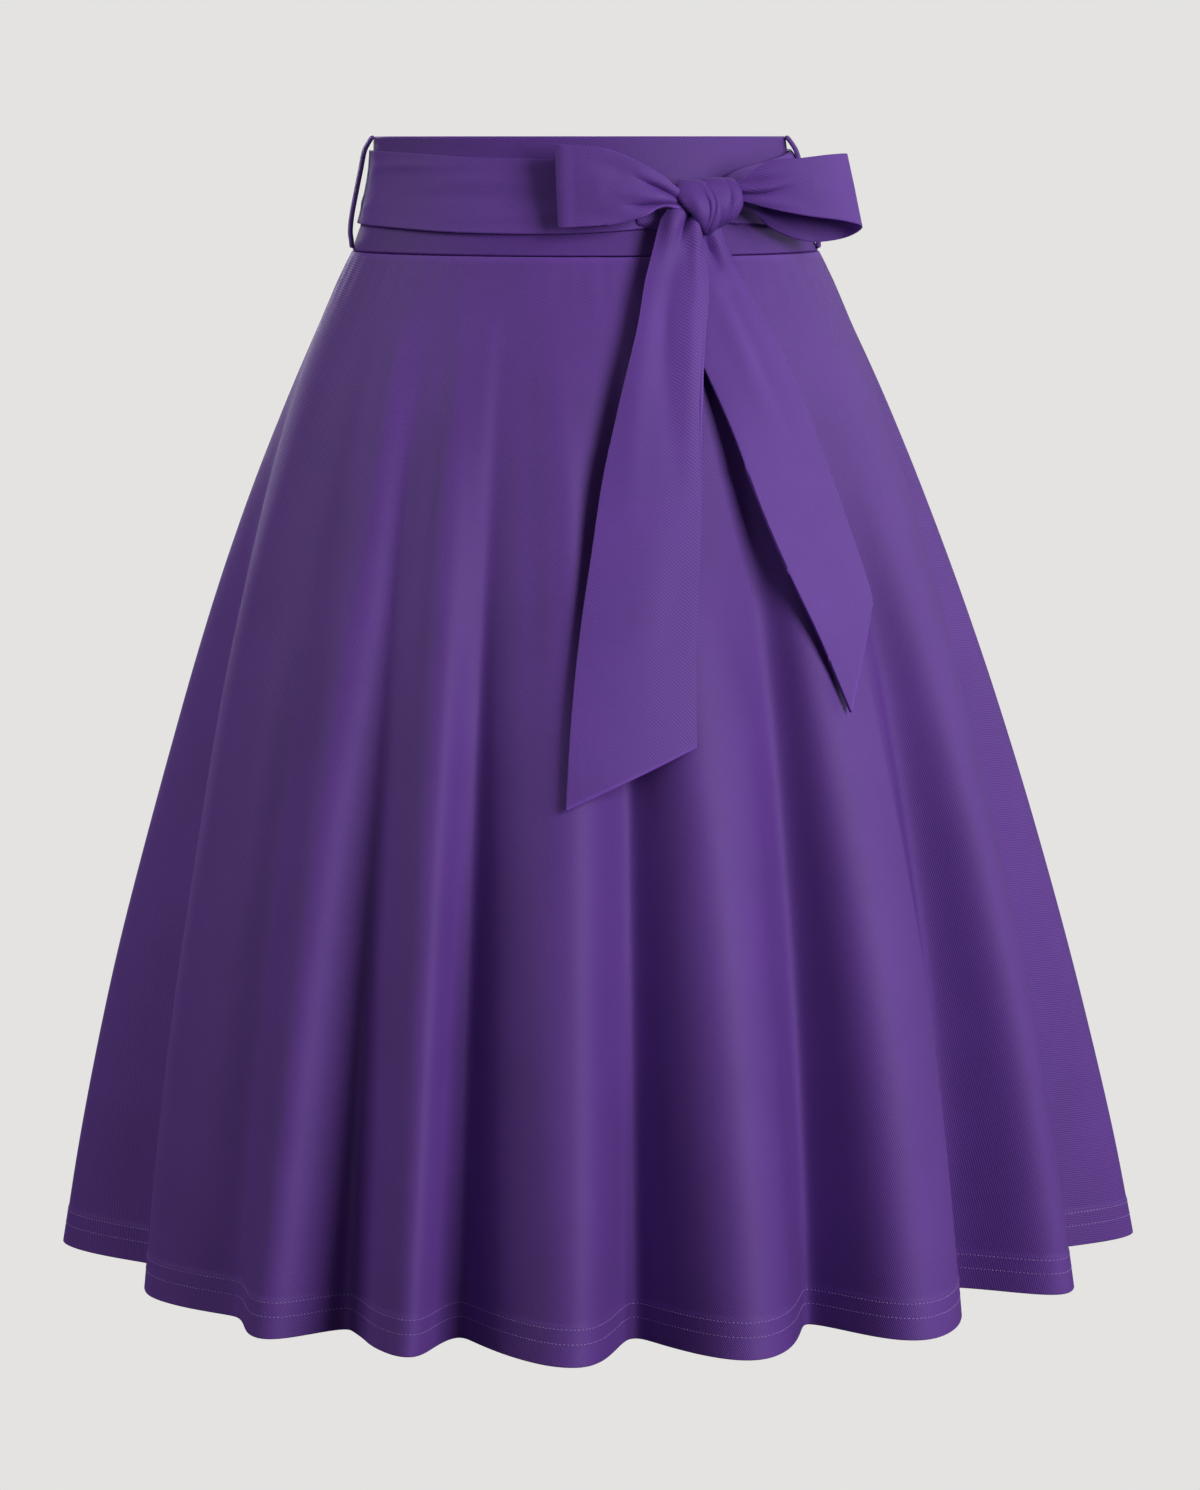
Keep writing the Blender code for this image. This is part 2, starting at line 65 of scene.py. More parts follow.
SEAM_DROP = 0.0658
SEAM_DIP = 0.0028
HEM_DROP = 0.672
SEAM_HALF_WIDTH = 0.1377
SEAM_HALF_DEPTH = 0.1045
HEM_HALF_DEPTH = 0.250
FOLD_GROWTH = 1.05
FOLD_DRIFT = 2.5
GAP = 0.0003
BAND_WALL = 0.0022
BAND_UNEVENNESS = 0.0003
LOOP_ANGLE = 82
KNOT_ANGLE = 33
LOOP_WIDTH = 0.009
LOOP_WALL = 0.002

BandSection = namedtuple("BandSection", "drop half_width half_depth shift")
BAND_SECTIONS = table(
    BandSection,
    (0.0000, 0.1205, 0.0900, -0.0035),
    (0.0200, 0.1222, 0.0922, -0.0025),
    (0.0450, 0.1288, 0.0975, -0.0010),
    (0.0686, SEAM_HALF_WIDTH, SEAM_HALF_DEPTH, 0.0),
)

SkirtSection = namedtuple("SkirtSection", "share half_width")
SKIRT_SECTIONS = table(
    SkirtSection,
    (0.0, SEAM_HALF_WIDTH),
    (0.1, 0.1662),
    (0.2, 0.1892),
    (0.3, 0.2087),
    (0.4, 0.2256),
    (0.5, 0.2404),
    (0.6, 0.2539),
    (0.7, 0.2662),
    (0.8, 0.2767),
    (0.9, 0.2858),
    (1.0, 0.2930),
)

# Each flute has a crest and, on its right, a valley: their angles at the seam and at the hem,
# how far they stand out from the mean section at the hem in millimetres, and the share of the
# way down at which the flute begins.
Fold = namedtuple(
    "Fold", "name crest_top crest_hem crest_out valley_top valley_hem valley_out start"
)
FOLDS = table(
    Fold,
    ("side_left", -104, -97, 30, -90, -79, -36, 0.03),
    ("front_left_outer", -68.5, -59.5, -3.0, -55.0, -44.7, -10.5, 0.04),
    ("front_left_inner", -42.5, -35.4, 23.3, -35.0, -29.1, -21.6, 0.04),
    ("front_left_centre", -27.2, -18.1, 30.7, -17.4, -14.8, -24.6, 0.03),
    ("front_centre", -5.9, -1.1, 42.0, 6.5, 5.9, -29.0, 0.08),
    ("front_right_centre", 9.7, 16.9, 36.5, 27.7, 28.7, -38.0, 0.10),
    ("front_right_inner", 32.1, 37.3, 32.0, 42.0, 59.4, -58.0, 0.06),
    ("front_right_outer", 59.5, 66.0, 18.0, 90, 88, -31, 0.03),
    ("side_right", 104, 101, 51, 116, 117, -12, 0.03),
    ("back_right_outer", 126, 128, 20, 135, 137, -26, 0.05),
    ("back_right_inner", 144, 146, 28, 153, 156, -20, 0.06),
    ("back_right_centre", 163, 165, 30, 172, 174, -26, 0.04),
    ("back_centre", 182, 183, 32, 192, 193, -22, 0.07),
    ("back_left_centre", 202, 203, 26, 211, 212, -28, 0.05),
    ("back_left_inner", 221, 222, 24, 230, 231, -22, 0.04),
    ("back_left_outer", 240, 242, 27, 249, 251, -26, 0.05),
)
FRONT_FROM = 1
FRONT_TO = 15
COLUMNS_PER_TURN = 24
CREST_ROUNDNESS = 0.45
VALLEY_ROUNDING = 8
SECTOR_RADIUS = 0.234
SECTOR_LENGTH = 0.63
SKIRT_UNEVENNESS = 0.0009
SEAM_PULL = 0.00035  # height of the small pulls under the waist seam
HEM_STAND = 0.0003  # how far the hem's outer face stands proud
HEM_DOUBLING = 0.0009  # how much the turned-up layer adds inside
CREASE_MM_PER_DEGREE = 4  # the skirt's creases are placed by these two
CREASE_MM_DOWN = 600

SashSection = namedtuple("SashSection", "angle top low")
SASH_SECTIONS = table(
    SashSection,
    (-90, 0.0075, 0.0515),
    (-60, 0.0085, 0.0535),
    (-30, 0.0115, 0.0562),
    (0, 0.0140, 0.0560),
    (12, 0.0185, 0.0540),
    (20, 0.0248, 0.0520),
    (27, 0.0280, 0.0505),
    (33, 0.0285, 0.0500),
    (39, 0.0252, 0.0503),
    (46, 0.0192, 0.0510),
    (60, 0.0140, 0.0535),
    (90, 0.0075, 0.0520),
    (135, 0.0090, 0.0530),
    (180, 0.0105, 0.0545),
    (225, 0.0090, 0.0530),
    (270, 0.0075, 0.0515),
)

LoopSection = namedtuple("LoopSection", "drop clear")
LOOP_SECTIONS = table(
    LoopSection,
    (0.0008, 0.0026),
    (0.0045, 0.0050),
    (0.0093, 0.0072),
    (0.0180, 0.0086),
    (0.0300, 0.0093),
    (0.0450, 0.0087),
    (0.0550, 0.0067),
    (0.0610, 0.0041),
    (0.0645, 0.0026),
)

# ---- the bow, from the model's own stations with the ends that run into the knot ------------

# Place of the strip's top edge, drop of its two edges, and how far the low edge is to the right.
BowSection = namedtuple("BowSection", "x y top low slant")
BOW_LEFT = table(
    BowSection,
    (0.0585, -0.1045, 0.0335, 0.0402, 0.0),
    (0.0530, -0.1080, 0.0302, 0.0412, 0.0),
    (0.0440, -0.1120, 0.0222, 0.0404, 0.0),
    (0.0336, -0.1150, 0.0158, 0.0456, 0.0),
    (0.0120, -0.1168, 0.0066, 0.0508, 0.0004),
    (-0.0060, -0.1162, 0.0045, 0.0520, 0.0010),
    (-0.0150, -0.1150, 0.0040, 0.0524, 0.0016),
    (-0.0162, -0.1138, 0.0040, 0.0524, 0.0018),
    (-0.0150, -0.1126, 0.0041, 0.0523, 0.0016),
    (-0.0060, -0.1100, 0.0048, 0.0520, 0.0010),
    (0.0120, -0.1078, 0.0075, 0.0505, 0.0004),
    (0.0336, -0.1062, 0.0165, 0.0450, 0.0),
    (0.0440, -0.1050, 0.0235, 0.0396, 0.0),
    (0.0540, -0.1020, 0.0320, 0.0400, 0.0),
)
BOW_RIGHT = table(
    BowSection,
    (0.0845, -0.0940, 0.0275, 0.0350, 0.0),
    (0.0918, -0.0965, 0.0228, 0.0372, 0.0),
    (0.1041, -0.0985, 0.0146, 0.0412, 0.0010),
    (0.1243, -0.0965, 0.0120, 0.0458, 0.0030),
    (0.1420, -0.0880, 0.0100, 0.0490, 0.0070),
    (0.1502, -0.0740, 0.0102, 0.0530, 0.0092),
    (0.1430, -0.0620, 0.0150, 0.0592, 0.0070),
    (0.1310, -0.0625, 0.0190, 0.0615, 0.0030),
    (0.1100, -0.0740, 0.0240, 0.0545, 0.0),
    (0.0900, -0.0880, 0.0290, 0.0400, 0.0),
    (0.0830, -0.0890, 0.0310, 0.0380, 0.0),
)

# The two edges of a hanging end, and how far each stands in front of the skirt's mean section.
TailSection = namedtuple("TailSection", "left_x left_drop right_x right_drop left_lift right_lift")
TAIL_LEFT = table(
    TailSection,
    (0.0500, 0.0385, 0.0570, 0.0400, 0.0066, 0.0089),
    (0.0470, 0.0425, 0.0608, 0.0432, 0.0088, 0.0130),
    (0.0433, 0.0475, 0.0637, 0.0480, 0.0093, 0.0150),
    (0.0411, 0.0540, 0.0660, 0.0540, 0.0095, 0.0145),
    (0.0390, 0.0622, 0.0680, 0.0622, 0.0100, 0.0125),
    (0.0337, 0.0832, 0.0706, 0.0880, 0.0110, 0.0108),
    (0.0302, 0.1044, 0.0685, 0.1125, 0.0115, 0.0110),
    (0.0185, 0.1526, 0.0664, 0.1531, 0.0125, 0.0120),
    (0.0097, 0.1912, 0.0662, 0.1918, 0.0140, 0.0135),
    (0.0035, 0.2312, 0.0655, 0.2287, 0.0160, 0.0150),
    (-0.0040, 0.2826, 0.0632, 0.2762, 0.0185, 0.0165),
    (-0.0087, 0.3316, 0.0631, 0.3160, 0.0215, 0.0180),
    (-0.0111, 0.3728, 0.0631, 0.3389, 0.0232, 0.0190),
)
TAIL_RIGHT = table(
    TailSection,
    (0.0580, 0.0500, 0.0765, 0.0500, 0.0020, 0.0020),
    (0.0555, 0.0640, 0.0800, 0.0600, 0.0030, 0.0030),
    (0.0500, 0.0951, 0.0890, 0.0787, 0.0040, 0.0040),
    (0.0666, 0.1294, 0.1085, 0.1135, 0.0055, 0.0050),
    (0.0830, 0.1659, 0.1252, 0.1505, 0.0120, 0.0060),
    (0.0994, 0.2096, 0.1418, 0.1949, 0.0170, 0.0075),
    (0.1192, 0.2545, 0.1579, 0.2417, 0.0200, 0.0090),
    (0.1318, 0.2808, 0.1625, 0.2559, 0.0190, 0.0095),
    (0.1507, 0.3252, 0.1647, 0.2667, 0.0170, 0.0100),
)
TAIL_ARCH = 0.0015

# The knot's wraps, each from behind its top over the front and under: place and drop of the
# two edges, how far forward each edge is, and how far the middle bulges, in metres.
WrapSection = namedtuple(
    "WrapSection", "left_x left_drop right_x right_drop left_out right_out bulge"
)
KNOT_FRONT_WRAP = table(
    WrapSection,
    (0.0570, 0.0300, 0.0715, 0.0310, 0.0890, 0.0880, 0.0010),
    (0.0548, 0.0262, 0.0712, 0.0278, 0.0960, 0.0950, 0.0014),
    (0.0534, 0.0275, 0.0732, 0.0300, 0.1048, 0.1030, 0.0018),
    (0.0532, 0.0335, 0.0759, 0.0362, 0.1090, 0.1068, 0.0024),
    (0.0575, 0.0395, 0.0770, 0.0425, 0.1105, 0.1078, 0.0028),
    (0.0622, 0.0445, 0.0763, 0.0476, 0.1103, 0.1066, 0.0026),
    (0.0660, 0.0500, 0.0742, 0.0522, 0.1080, 0.1040, 0.0018),
    (0.0678, 0.0540, 0.0718, 0.0547, 0.1030, 0.1000, 0.0008),
    (0.0682, 0.0545, 0.0712, 0.0548, 0.0960, 0.0940, 0.0004),
)
KNOT_RIGHT_WRAP = table(
    WrapSection,
    (0.0660, 0.0300, 0.0825, 0.0300, 0.0860, 0.0830, 0.0006),
    (0.0665, 0.0256, 0.0838, 0.0254, 0.0930, 0.0895, 0.0010),
    (0.0680, 0.0275, 0.0866, 0.0272, 0.1005, 0.0955, 0.0016),
    (0.0690, 0.0340, 0.0890, 0.0335, 0.1040, 0.0985, 0.0022),
    (0.0700, 0.0400, 0.0893, 0.0392, 0.1050, 0.0990, 0.0024),
    (0.0705, 0.0460, 0.0862, 0.0450, 0.1035, 0.0980, 0.0020),
    (0.0700, 0.0510, 0.0808, 0.0492, 0.0990, 0.0945, 0.0012),
    (0.0700, 0.0525, 0.0775, 0.0512, 0.0925, 0.0890, 0.0004),
)
KNOT_UNDER_WRAP = table(
    WrapSection,
    (0.0300, 0.0440, 0.0620, 0.0370, 0.0998, 0.0960, 0.0000),
    (0.0305, 0.0470, 0.0620, 0.0430, 0.1003, 0.0975, 0.0006),
    (0.0308, 0.0492, 0.0610, 0.0500, 0.1004, 0.0980, 0.0010),
    (0.0312, 0.0500, 0.0600, 0.0560, 0.1000, 0.0970, 0.0006),
)

# ---- the cut of what shows -------------------------------------------------------------------

# A piece's cut is its width, length and area. The skirt's two panels are 90-degree sectors, held
# to one cut. For the others, width and length are the cloth's longest row and longest column on
# its middle surface, and half of a belt loop's girth, with its edges, stands for its width.
Cut = namedtuple("Cut", "width length area")

# ---- soft ridges and troughs ------------------------------------------------------------------

# A crease runs on a curve through three places. Heights are in millimetres, up is out of the
# cloth; width is half the crease's breadth in millimetres.
Crease = namedtuple("Crease", "name x0 y0 h0 x1 y1 h1 x2 y2 h2 width")

# On the bow, the knot and the tails the places are sideways place and drop, in millimetres.
BOW_LEFT_FRONT = table(
    Crease,
    ("rolled_pleat", 26, 17.0, 0, 43.5, 26.2, 1.3, 56, 34.5, 1.2, 3.0),
    ("upper_wedge", 26, 22.6, 0, 43.3, 30.0, -3.2, 54, 36.6, -2.0, 1.4),
    ("middle_lobe", 14, 31.0, 0, 40.0, 34.5, 2.0, 55, 37.5, 0.7, 3.4),
    ("lower_wedge", 21, 39.8, 0, 38.0, 38.8, -3.0, 54, 38.2, -1.8, 1.4),
    ("lower_lobe", 20, 45.0, 0, 37.0, 43.5, 1.2, 53, 40.0, 0.6, 2.6),
    ("belly", -6, 27.0, 0.5, 8.0, 27.0, 1.3, 26, 29.0, 0.2, 12.0),
    ("top_hollow", 2, 14.0, -0.2, 18.0, 19.0, -0.9, 34, 25.0, 0, 4.0),
    ("low_hollow", -8, 46.0, -0.2, 8.0, 45.0, -0.7, 24, 44.0, 0, 4.0),
)
BOW_LEFT_BACK = table(
    Crease,
    ("inner_trough", 20, 28.0, 0, 38.0, 31.0, -1.6, 53, 36.0, -0.8, 2.4),
    ("inner_ridge", 10, 38.0, 0, 34.0, 38.0, 0.9, 52, 38.0, 0.2, 3.0),
)
BOW_RIGHT_FRONT = table(
    Crease,
    ("fold_edge", 87, 30.2, 1.8, 104.6, 29.3, 1.5, 121, 23.2, 0, 1.9),
    ("under_fold", 87, 32.6, -2.4, 103.0, 32.4, -1.8, 120, 28.3, 0, 1.6),
    ("top_lobe", 88, 25.0, 0.6, 104.0, 21.0, 1.1, 126, 20.0, 0, 3.4),
    ("low_lobe", 90, 35.4, 0.8, 106.0, 37.5, 1.0, 130, 41.0, 0, 2.8),
    ("belly", 112, 28.0, 0, 130.0, 29.0, 1.2, 146, 30.0, 0.3, 11.0),
)
BOW_RIGHT_BACK = table(
    Crease,
    ("rolled_edge", 90, 38.5, 0.6, 106.0, 47.5, 1.5, 128, 59.0, 0.4, 2.4),
    ("inner_fold", 92, 36.0, -1.0, 110.0, 43.0, -1.6, 134, 52.0, 0, 2.2),
)
TAIL_LEFT_CREASES = table(
    Crease,
    ("pocket", 61.4, 43.0, -6.0, 58.0, 48.2, -5.8, 53.4, 59.5, -0.4, 2.3),
    ("left_lobe", 52, 41.0, 1.2, 49.5, 52.0, 2.0, 45, 74.0, 0.2, 3.8),
    ("right_lobe", 63, 48.0, 1.0, 63.2, 62.0, 1.9, 64, 94.0, 0.5, 3.4),
    ("long_trough", 55, 64.0, -1.0, 45.5, 112.0, -2.6, 52, 196.0, 0, 6.5),
    ("right_shoulder", 62, 78.0, 0.9, 60.5, 122.0, 2.0, 59, 205.0, 0, 5.5),
    ("left_shoulder", 38, 88.0, 0.5, 29.0, 146.0, 1.5, 26, 225.0, 0, 7.0),
    ("low_shoulder", 44, 205.0, 0, 36.0, 250.0, 0.8, 30, 320.0, 0, 14.0),
    ("right_channel", 66, 104.0, 0, 64.6, 150.0, -0.7, 64.4, 205.0, 0, 0.7),
    ("low_hollow", 56, 215.0, 0, 50.0, 262.0, -0.7, 44, 300.0, 0, 9.0),
)
TAIL_RIGHT_CREASES = table(
    Crease,
    ("cavity", 69, 54.0, -3.4, 73.2, 63.5, -5.0, 77.5, 78.0, 0, 2.3),
    ("right_lobe", 76, 60.0, 0.6, 84.0, 78.0, 1.0, 97, 108.0, 0, 3.6),
    ("long_ridge", 72, 82.0, 0.8, 92.0, 128.0, 1.9, 118, 190.0, 0, 6.0),
    ("long_trough", 82, 90.0, -0.8, 101.0, 132.0, -1.6, 128, 190.0, 0, 4.6),
    ("low_ridge", 112, 196.0, 0, 132.0, 226.0, 0.7, 148, 262.0, 0, 9.0),
)
FRONT_WRAP_CREASES = table(
    Crease,
    ("outer_pleat", 69.0, 28.0, -0.8, 74.8, 38.5, -2.0, 70.3, 53.0, -0.8, 0.9),
    ("inner_pleat", 64.5, 28.5, -0.4, 71.2, 39.0, -1.5, 68.6, 52.0, -0.5, 0.9),
    ("soft_middle", 57.0, 30.0, 0.4, 64.0, 38.5, 1.4, 66.6, 49.0, 0.5, 3.0),
)
RIGHT_WRAP_CREASES = table(
    Crease,
    ("soft_pleat", 80.0, 26.0, -0.3, 83.6, 36.0, -1.2, 79.0, 49.0, -0.3, 1.1),
    ("outer_ridge", 84.0, 27.0, 0.3, 87.6, 36.0, 0.9, 83.0, 47.0, 0.2, 1.8),
)
# On the waist the places are the angle, counted as 2 mm a degree, and the drop.
SASH_LEFT_CREASES = table(
    Crease,
    ("side_pull", -152, 20.0, 0.5, -110, 17.0, 0.7, -40, 18.0, 0, 2.6),
    ("upper_ridge", -96, 27.0, 0, -44, 26.0, 0.6, 12, 29.0, 0.2, 3.0),
    ("middle_hollow", -120, 36.0, 0, -60, 35.0, -0.6, 8, 38.0, -0.2, 3.4),
    ("low_ridge", -84, 47.0, 0, -30, 45.5, 0.7, 22, 42.0, 0.3, 2.8),
    ("loop_pull", -156, 42.0, 0.5, -132, 40.0, 0.3, -104, 41.0, 0, 2.4),
)
SASH_RIGHT_CREASES = table(
    Crease,
    ("knot_pull", 70, 30.0, 0.7, 100, 25.0, 0.6, 150, 18.0, 0, 2.2),
    ("low_pull", 74, 40.0, 0.6, 104, 43.0, 0.6, 152, 43.0, 0, 2.4),
    ("middle_hollow", 72, 35.0, -0.6, 104, 34.0, -0.6, 150, 31.0, 0, 2.4),
    ("loop_fill", 146, 18.0, 0.4, 156, 16.0, 2.2, 164, 16.0, 3.2, 9.0),
)
SASH_BACK_CREASES = table(
    Crease,
    ("loop_fill", 164, 16.0, 3.2, 172, 16.0, 2.2, 184, 18.0, 0.2, 9.0),
    ("right_pull", 172, 19.0, 0.6, 220, 16.0, 0.5, 276, 20.0, 0, 2.8),
    ("right_hollow", 186, 33.0, -0.3, 260, 30.0, -0.7, 338, 35.0, 0, 3.4),
    ("middle_ridge", 262, 41.0, 0, 340, 45.0, 0.7, 410, 41.0, 0, 3.2),
    ("left_hollow", 380, 25.0, 0, 446, 27.0, -0.6, 520, 23.0, -0.2, 2.8),
    ("left_pull", 478, 42.0, 0, 520, 40.0, 0.6, 552, 38.0, 0.5, 2.6),
)
# On the skirt the places are the angle, counted as 4 mm a degree, and 6 mm for each hundredth
# of the way from seam to hem.
SKIRT_CREASES = table(
    Crease,
    ("upper_left_ridge", -164, 50, 1.0, -140, 180, 1.8, -134, 330, 0, 9),
    ("upper_left_trough", -115, 54, -1.0, -103, 180, -1.4, -98, 330, 0, 8),
    ("upper_middle_ridge", -80, 40, 1.0, -70, 180, 1.9, -70, 330, 0, 8),
    ("upper_centre_trough", -44, 60, -0.8, -31, 180, -1.4, -26, 330, 0, 8),
    ("upper_centre_ridge", -22, 70, 0.5, -6, 180, 1.8, -4, 330, 0, 8),
    ("upper_right_trough", 172, 60, -0.7, 160, 170, -1.3, 158, 300, 0, 9),
    ("right_narrow_trough", 198, 170, 0, 206, 290, -1.6, 214, 430, 0, 6),
    ("right_narrow_ridge", 184, 150, 0, 190, 280, 1.3, 200, 420, 0, 7),
    ("left_outer_ripple", -228, 150, 0, -206, 330, 1.6, -196, 560, 0.8, 13),
    ("left_hip_soft", -196, 30, 0, -180, 120, 0.8, -170, 250, 0, 14),
    ("left_inner_ripple", -120, 330, 0, -108, 460, -1.4, -102, 600, -1.0, 7),
    ("left_centre_edge", -88, 210, 0, -78, 380, 1.2, -72, 600, 0.6, 7),
    ("centre_soft", -30, 300, 0, -18, 440, 1.2, -12, 600, 0.8, 9),
    ("centre_right_soft", 30, 400, 0, 24, 500, -1.2, 24, 600, -1.0, 8),
    ("right_of_tail", 148, 230, 0, 152, 380, 1.6, 150, 540, 0, 12),
    ("right_inner_soft", 232, 130, 0, 246, 320, 1.6, 258, 560, 0.6, 14),
    ("right_hip_soft", 190, 40, 0, 206, 130, 0.9, 216, 260, 0, 12),
    ("right_outer_ripple", 318, 200, 0, 326, 400, -1.6, 330, 590, -0.8, 12),
    ("side_right_soft", 414, 150, 0, 420, 340, 1.4, 424, 590, 0.8, 12),
    ("back_right_ripple", 548, 260, 0, 556, 440, 1.4, 560, 600, 1.0, 10),
    ("back_right_soft", 640, 120, 0, 648, 300, 1.0, 652, 500, 0, 12),
    ("back_centre_ripple", 706, 320, 0, 710, 460, -1.4, 712, 600, -1.0, 8),
    ("back_left_soft", 788, 140, 0, 792, 320, 1.2, 796, 560, 0.4, 12),
    ("back_left_ripple", 862, 300, 0, 868, 450, 1.4, 870, 600, 0.8, 9),
    ("back_left_outer_soft", 938, 160, 0, 946, 360, 1.2, 950, 590, 0.6, 12),
    ("side_left_ripple", 1016, 240, 0, 1028, 420, 1.4, 1036, 600, 0.8, 10),
)


# ---- curves and forms -----------------------------------------------------------------------


def smooth(knots, values, at):
    """Values at the places asked for, on a smooth curve through rows given at rising knots."""
    knots = np.asarray(knots, float)
    values = np.asarray(values, float)
    at = np.clip(at, knots[0], knots[-1])
    slopes = np.gradient(values, knots, axis=0)
    row = np.clip(np.searchsorted(knots, at, side="right") - 1, 0, len(knots) - 2)
    width = knots[row + 1] - knots[row]
    t = (at - knots[row]) / width
    if values.ndim > 1:
        t = t[..., None]
        width = width[..., None]
    return (
        (2 * t**3 - 3 * t**2 + 1) * values[row]
        + (t**3 - 2 * t**2 + t) * width * slopes[row]
        + (3 * t**2 - 2 * t**3) * values[row + 1]
        + (t**3 - t**2) * width * slopes[row + 1]
    )


def column(table, name):
    """One named column of a table."""
    return [getattr(row, name) for row in table]


def ease(t):
    """From 0 to 1 with level ends."""
    return t * t * (3 - 2 * t)


def unit(vectors):
    """The same vectors with length one."""
    return vectors / np.linalg.norm(vectors, axis=-1, keepdims=True)


def level(normals):
    """The same normals turned level, for an edge that meets a neighbour."""
    return unit(normals * np.array([1.0, 1.0, 0.0]))


def edge_dense(count):
    """Shares from 0 to 1 that stand closer together at both ends."""
    t = np.linspace(0, 1, count)
    return 0.45 * t + 0.55 * (1 - np.cos(np.pi * t)) / 2


def seam_drop(angle):
    """How far the waist seam is below the top edge."""
    return SEAM_DROP + SEAM_DIP * np.cos(np.radians(angle) / 2) ** 2


def skirt_half_sizes(share):
    """Half width and half depth of the skirt's mean section."""
    width = smooth(column(SKIRT_SECTIONS, "share"), column(SKIRT_SECTIONS, "half_width"), share)
    spread = (width - SEAM_HALF_WIDTH) / (SKIRT_SECTIONS[-1].half_width - SEAM_HALF_WIDTH)
    return width, SEAM_HALF_DEPTH + spread * (HEM_HALF_DEPTH - SEAM_HALF_DEPTH)


def fold_turns(share):
    """Angle and outward reach of each crest and valley in turn, at this share of the way down."""
    drift = (1 - share) ** FOLD_DRIFT
    angles = []
    reaches = []
    for fold in FOLDS:
        grown = max(0.0, (share - fold.start) / (1 - fold.start)) ** FOLD_GROWTH
        angles.append(fold.crest_hem + (fold.crest_top - fold.crest_hem) * drift)
        angles.append(fold.valley_hem + (fold.valley_top - fold.valley_hem) * drift)
        reaches.append(fold.crest_out * grown / 1000)
        reaches.append(fold.valley_out * grown / 1000)
    return np.array(angles), np.array(reaches)


def fluted_ring(share, turns):
    """Points and angles of the skirt's section at places counted in turns of the flutes."""
    angles, reaches = fold_turns(share)
    count = len(angles)
    whole = np.floor(turns).astype(int)
    t = turns - whole

    def angle_of(turn):
        return angles[turn % count] + 360.0 * (turn // count)

    before = angle_of(whole - 1)
    here = angle_of(whole)
    after = angle_of(whole + 1)
    beyond = angle_of(whole + 2)
    angle = (
        (2 * t**3 - 3 * t**2 + 1) * here
        + (t**3 - 2 * t**2 + t) * (after - before) / 2
        + (3 * t**2 - 2 * t**3) * after
        + (t**3 - t**2) * (beyond - here) / 2
    )
    # Cloth that hangs in flutes is broad and round on its crests and narrow in its valleys.
    to_valley = whole % 2 == 0
    crest = np.where(to_valley, reaches[whole % count], reaches[(whole + 1) % count])
    valley = np.where(to_valley, reaches[(whole + 1) % count], reaches[whole % count])
    inward = np.where(to_valley, t, 1 - t)
    round_part = CREST_ROUNDNESS * (1 - np.cos(np.pi * inward / 2))
    sunk = round_part + (1 - CREST_ROUNDNESS) * ease(inward)
    reach = crest + (valley - crest) * sunk
    half_width, half_depth = skirt_half_sizes(np.array(share))
    around = np.radians(angle)
    out = unit(np.stack([np.sin(around) / half_width, -np.cos(around) / half_depth], axis=-1))
    x = half_width * np.sin(around) + reach * out[..., 0]
    y = -half_depth * np.cos(around) + reach * out[..., 1]
    top = seam_drop(angle) + GAP / 2
    z = -(top + share * (HEM_DROP - top))
    return np.stack([x, y, z], axis=-1), angle


def front_of_skirt(x, drop):
    """How far the mean section is in front of its middle, at a place seen from the front."""
    share = np.clip((drop - SEAM_DROP) / (HEM_DROP - SEAM_DROP), 0, 1)
    half_width, half_depth = skirt_half_sizes(share)
    return half_depth * np.sqrt(1 - (x / half_width) ** 2)


def band_point(angle, drop, clear):
    """A point outside the waistband's middle surface by a clear distance."""
    drops = column(BAND_SECTIONS, "drop")
    half_width = smooth(drops, column(BAND_SECTIONS, "half_width"), drop)
    half_depth = smooth(drops, column(BAND_SECTIONS, "half_depth"), drop)
    shift = smooth(drops, column(BAND_SECTIONS, "shift"), drop)
    around = np.radians(angle)
    out = unit(np.stack([np.sin(around) / half_width, -np.cos(around) / half_depth], axis=-1))
    x = shift + half_width * np.sin(around) + clear * out[..., 0]
    y = -half_depth * np.cos(around) + clear * out[..., 1]
    return np.stack([x, y, -drop], axis=-1)


def crease_height(creases, across, down):
    """Height in metres of soft ridges and troughs, at places given in millimetres."""
    total = np.zeros_like(across)
    t = np.linspace(0, 1, 21)
    first = (1 - t) * (1 - 2 * t)
    middle = 4 * t * (1 - t)
    last = t * (2 * t - 1)
    for crease in creases:
        x = crease.x0 * first + crease.x1 * middle + crease.x2 * last
        y = crease.y0 * first + crease.y1 * middle + crease.y2 * last
        nearest = np.full(across.shape, np.inf)
        share = np.zeros_like(across)
        for step in range(len(t) - 1):
            run_x = x[step + 1] - x[step]
            run_y = y[step + 1] - y[step]
            reach = (across - x[step]) * run_x + (down - y[step]) * run_y
            part = np.clip(reach / (run_x**2 + run_y**2), 0, 1)
            away = np.hypot(across - x[step] - part * run_x, down - y[step] - part * run_y)
            share = np.where(away < nearest, t[step] + part * (t[1] - t[0]), share)
            nearest = np.minimum(away, nearest)
        height = np.interp(share, (0, 0.5, 1), (crease.h0, crease.h1, crease.h2))
        total += height * np.exp(-((nearest / crease.width) ** 2)) / 1000
    return total


def ripple(across, down, seed):
    """A slow unevenness between -1 and 1 over places in metres, from a few fixed waves."""
    waves = np.random.default_rng(seed).uniform(-1, 1, (5, 3))
    total = np.zeros_like(across)
    for turn_across, turn_down, phase in waves:
        total += np.sin(2 * np.pi * (across * turn_across * 9 + down * turn_down * 6 + phase))
    return total / len(waves)


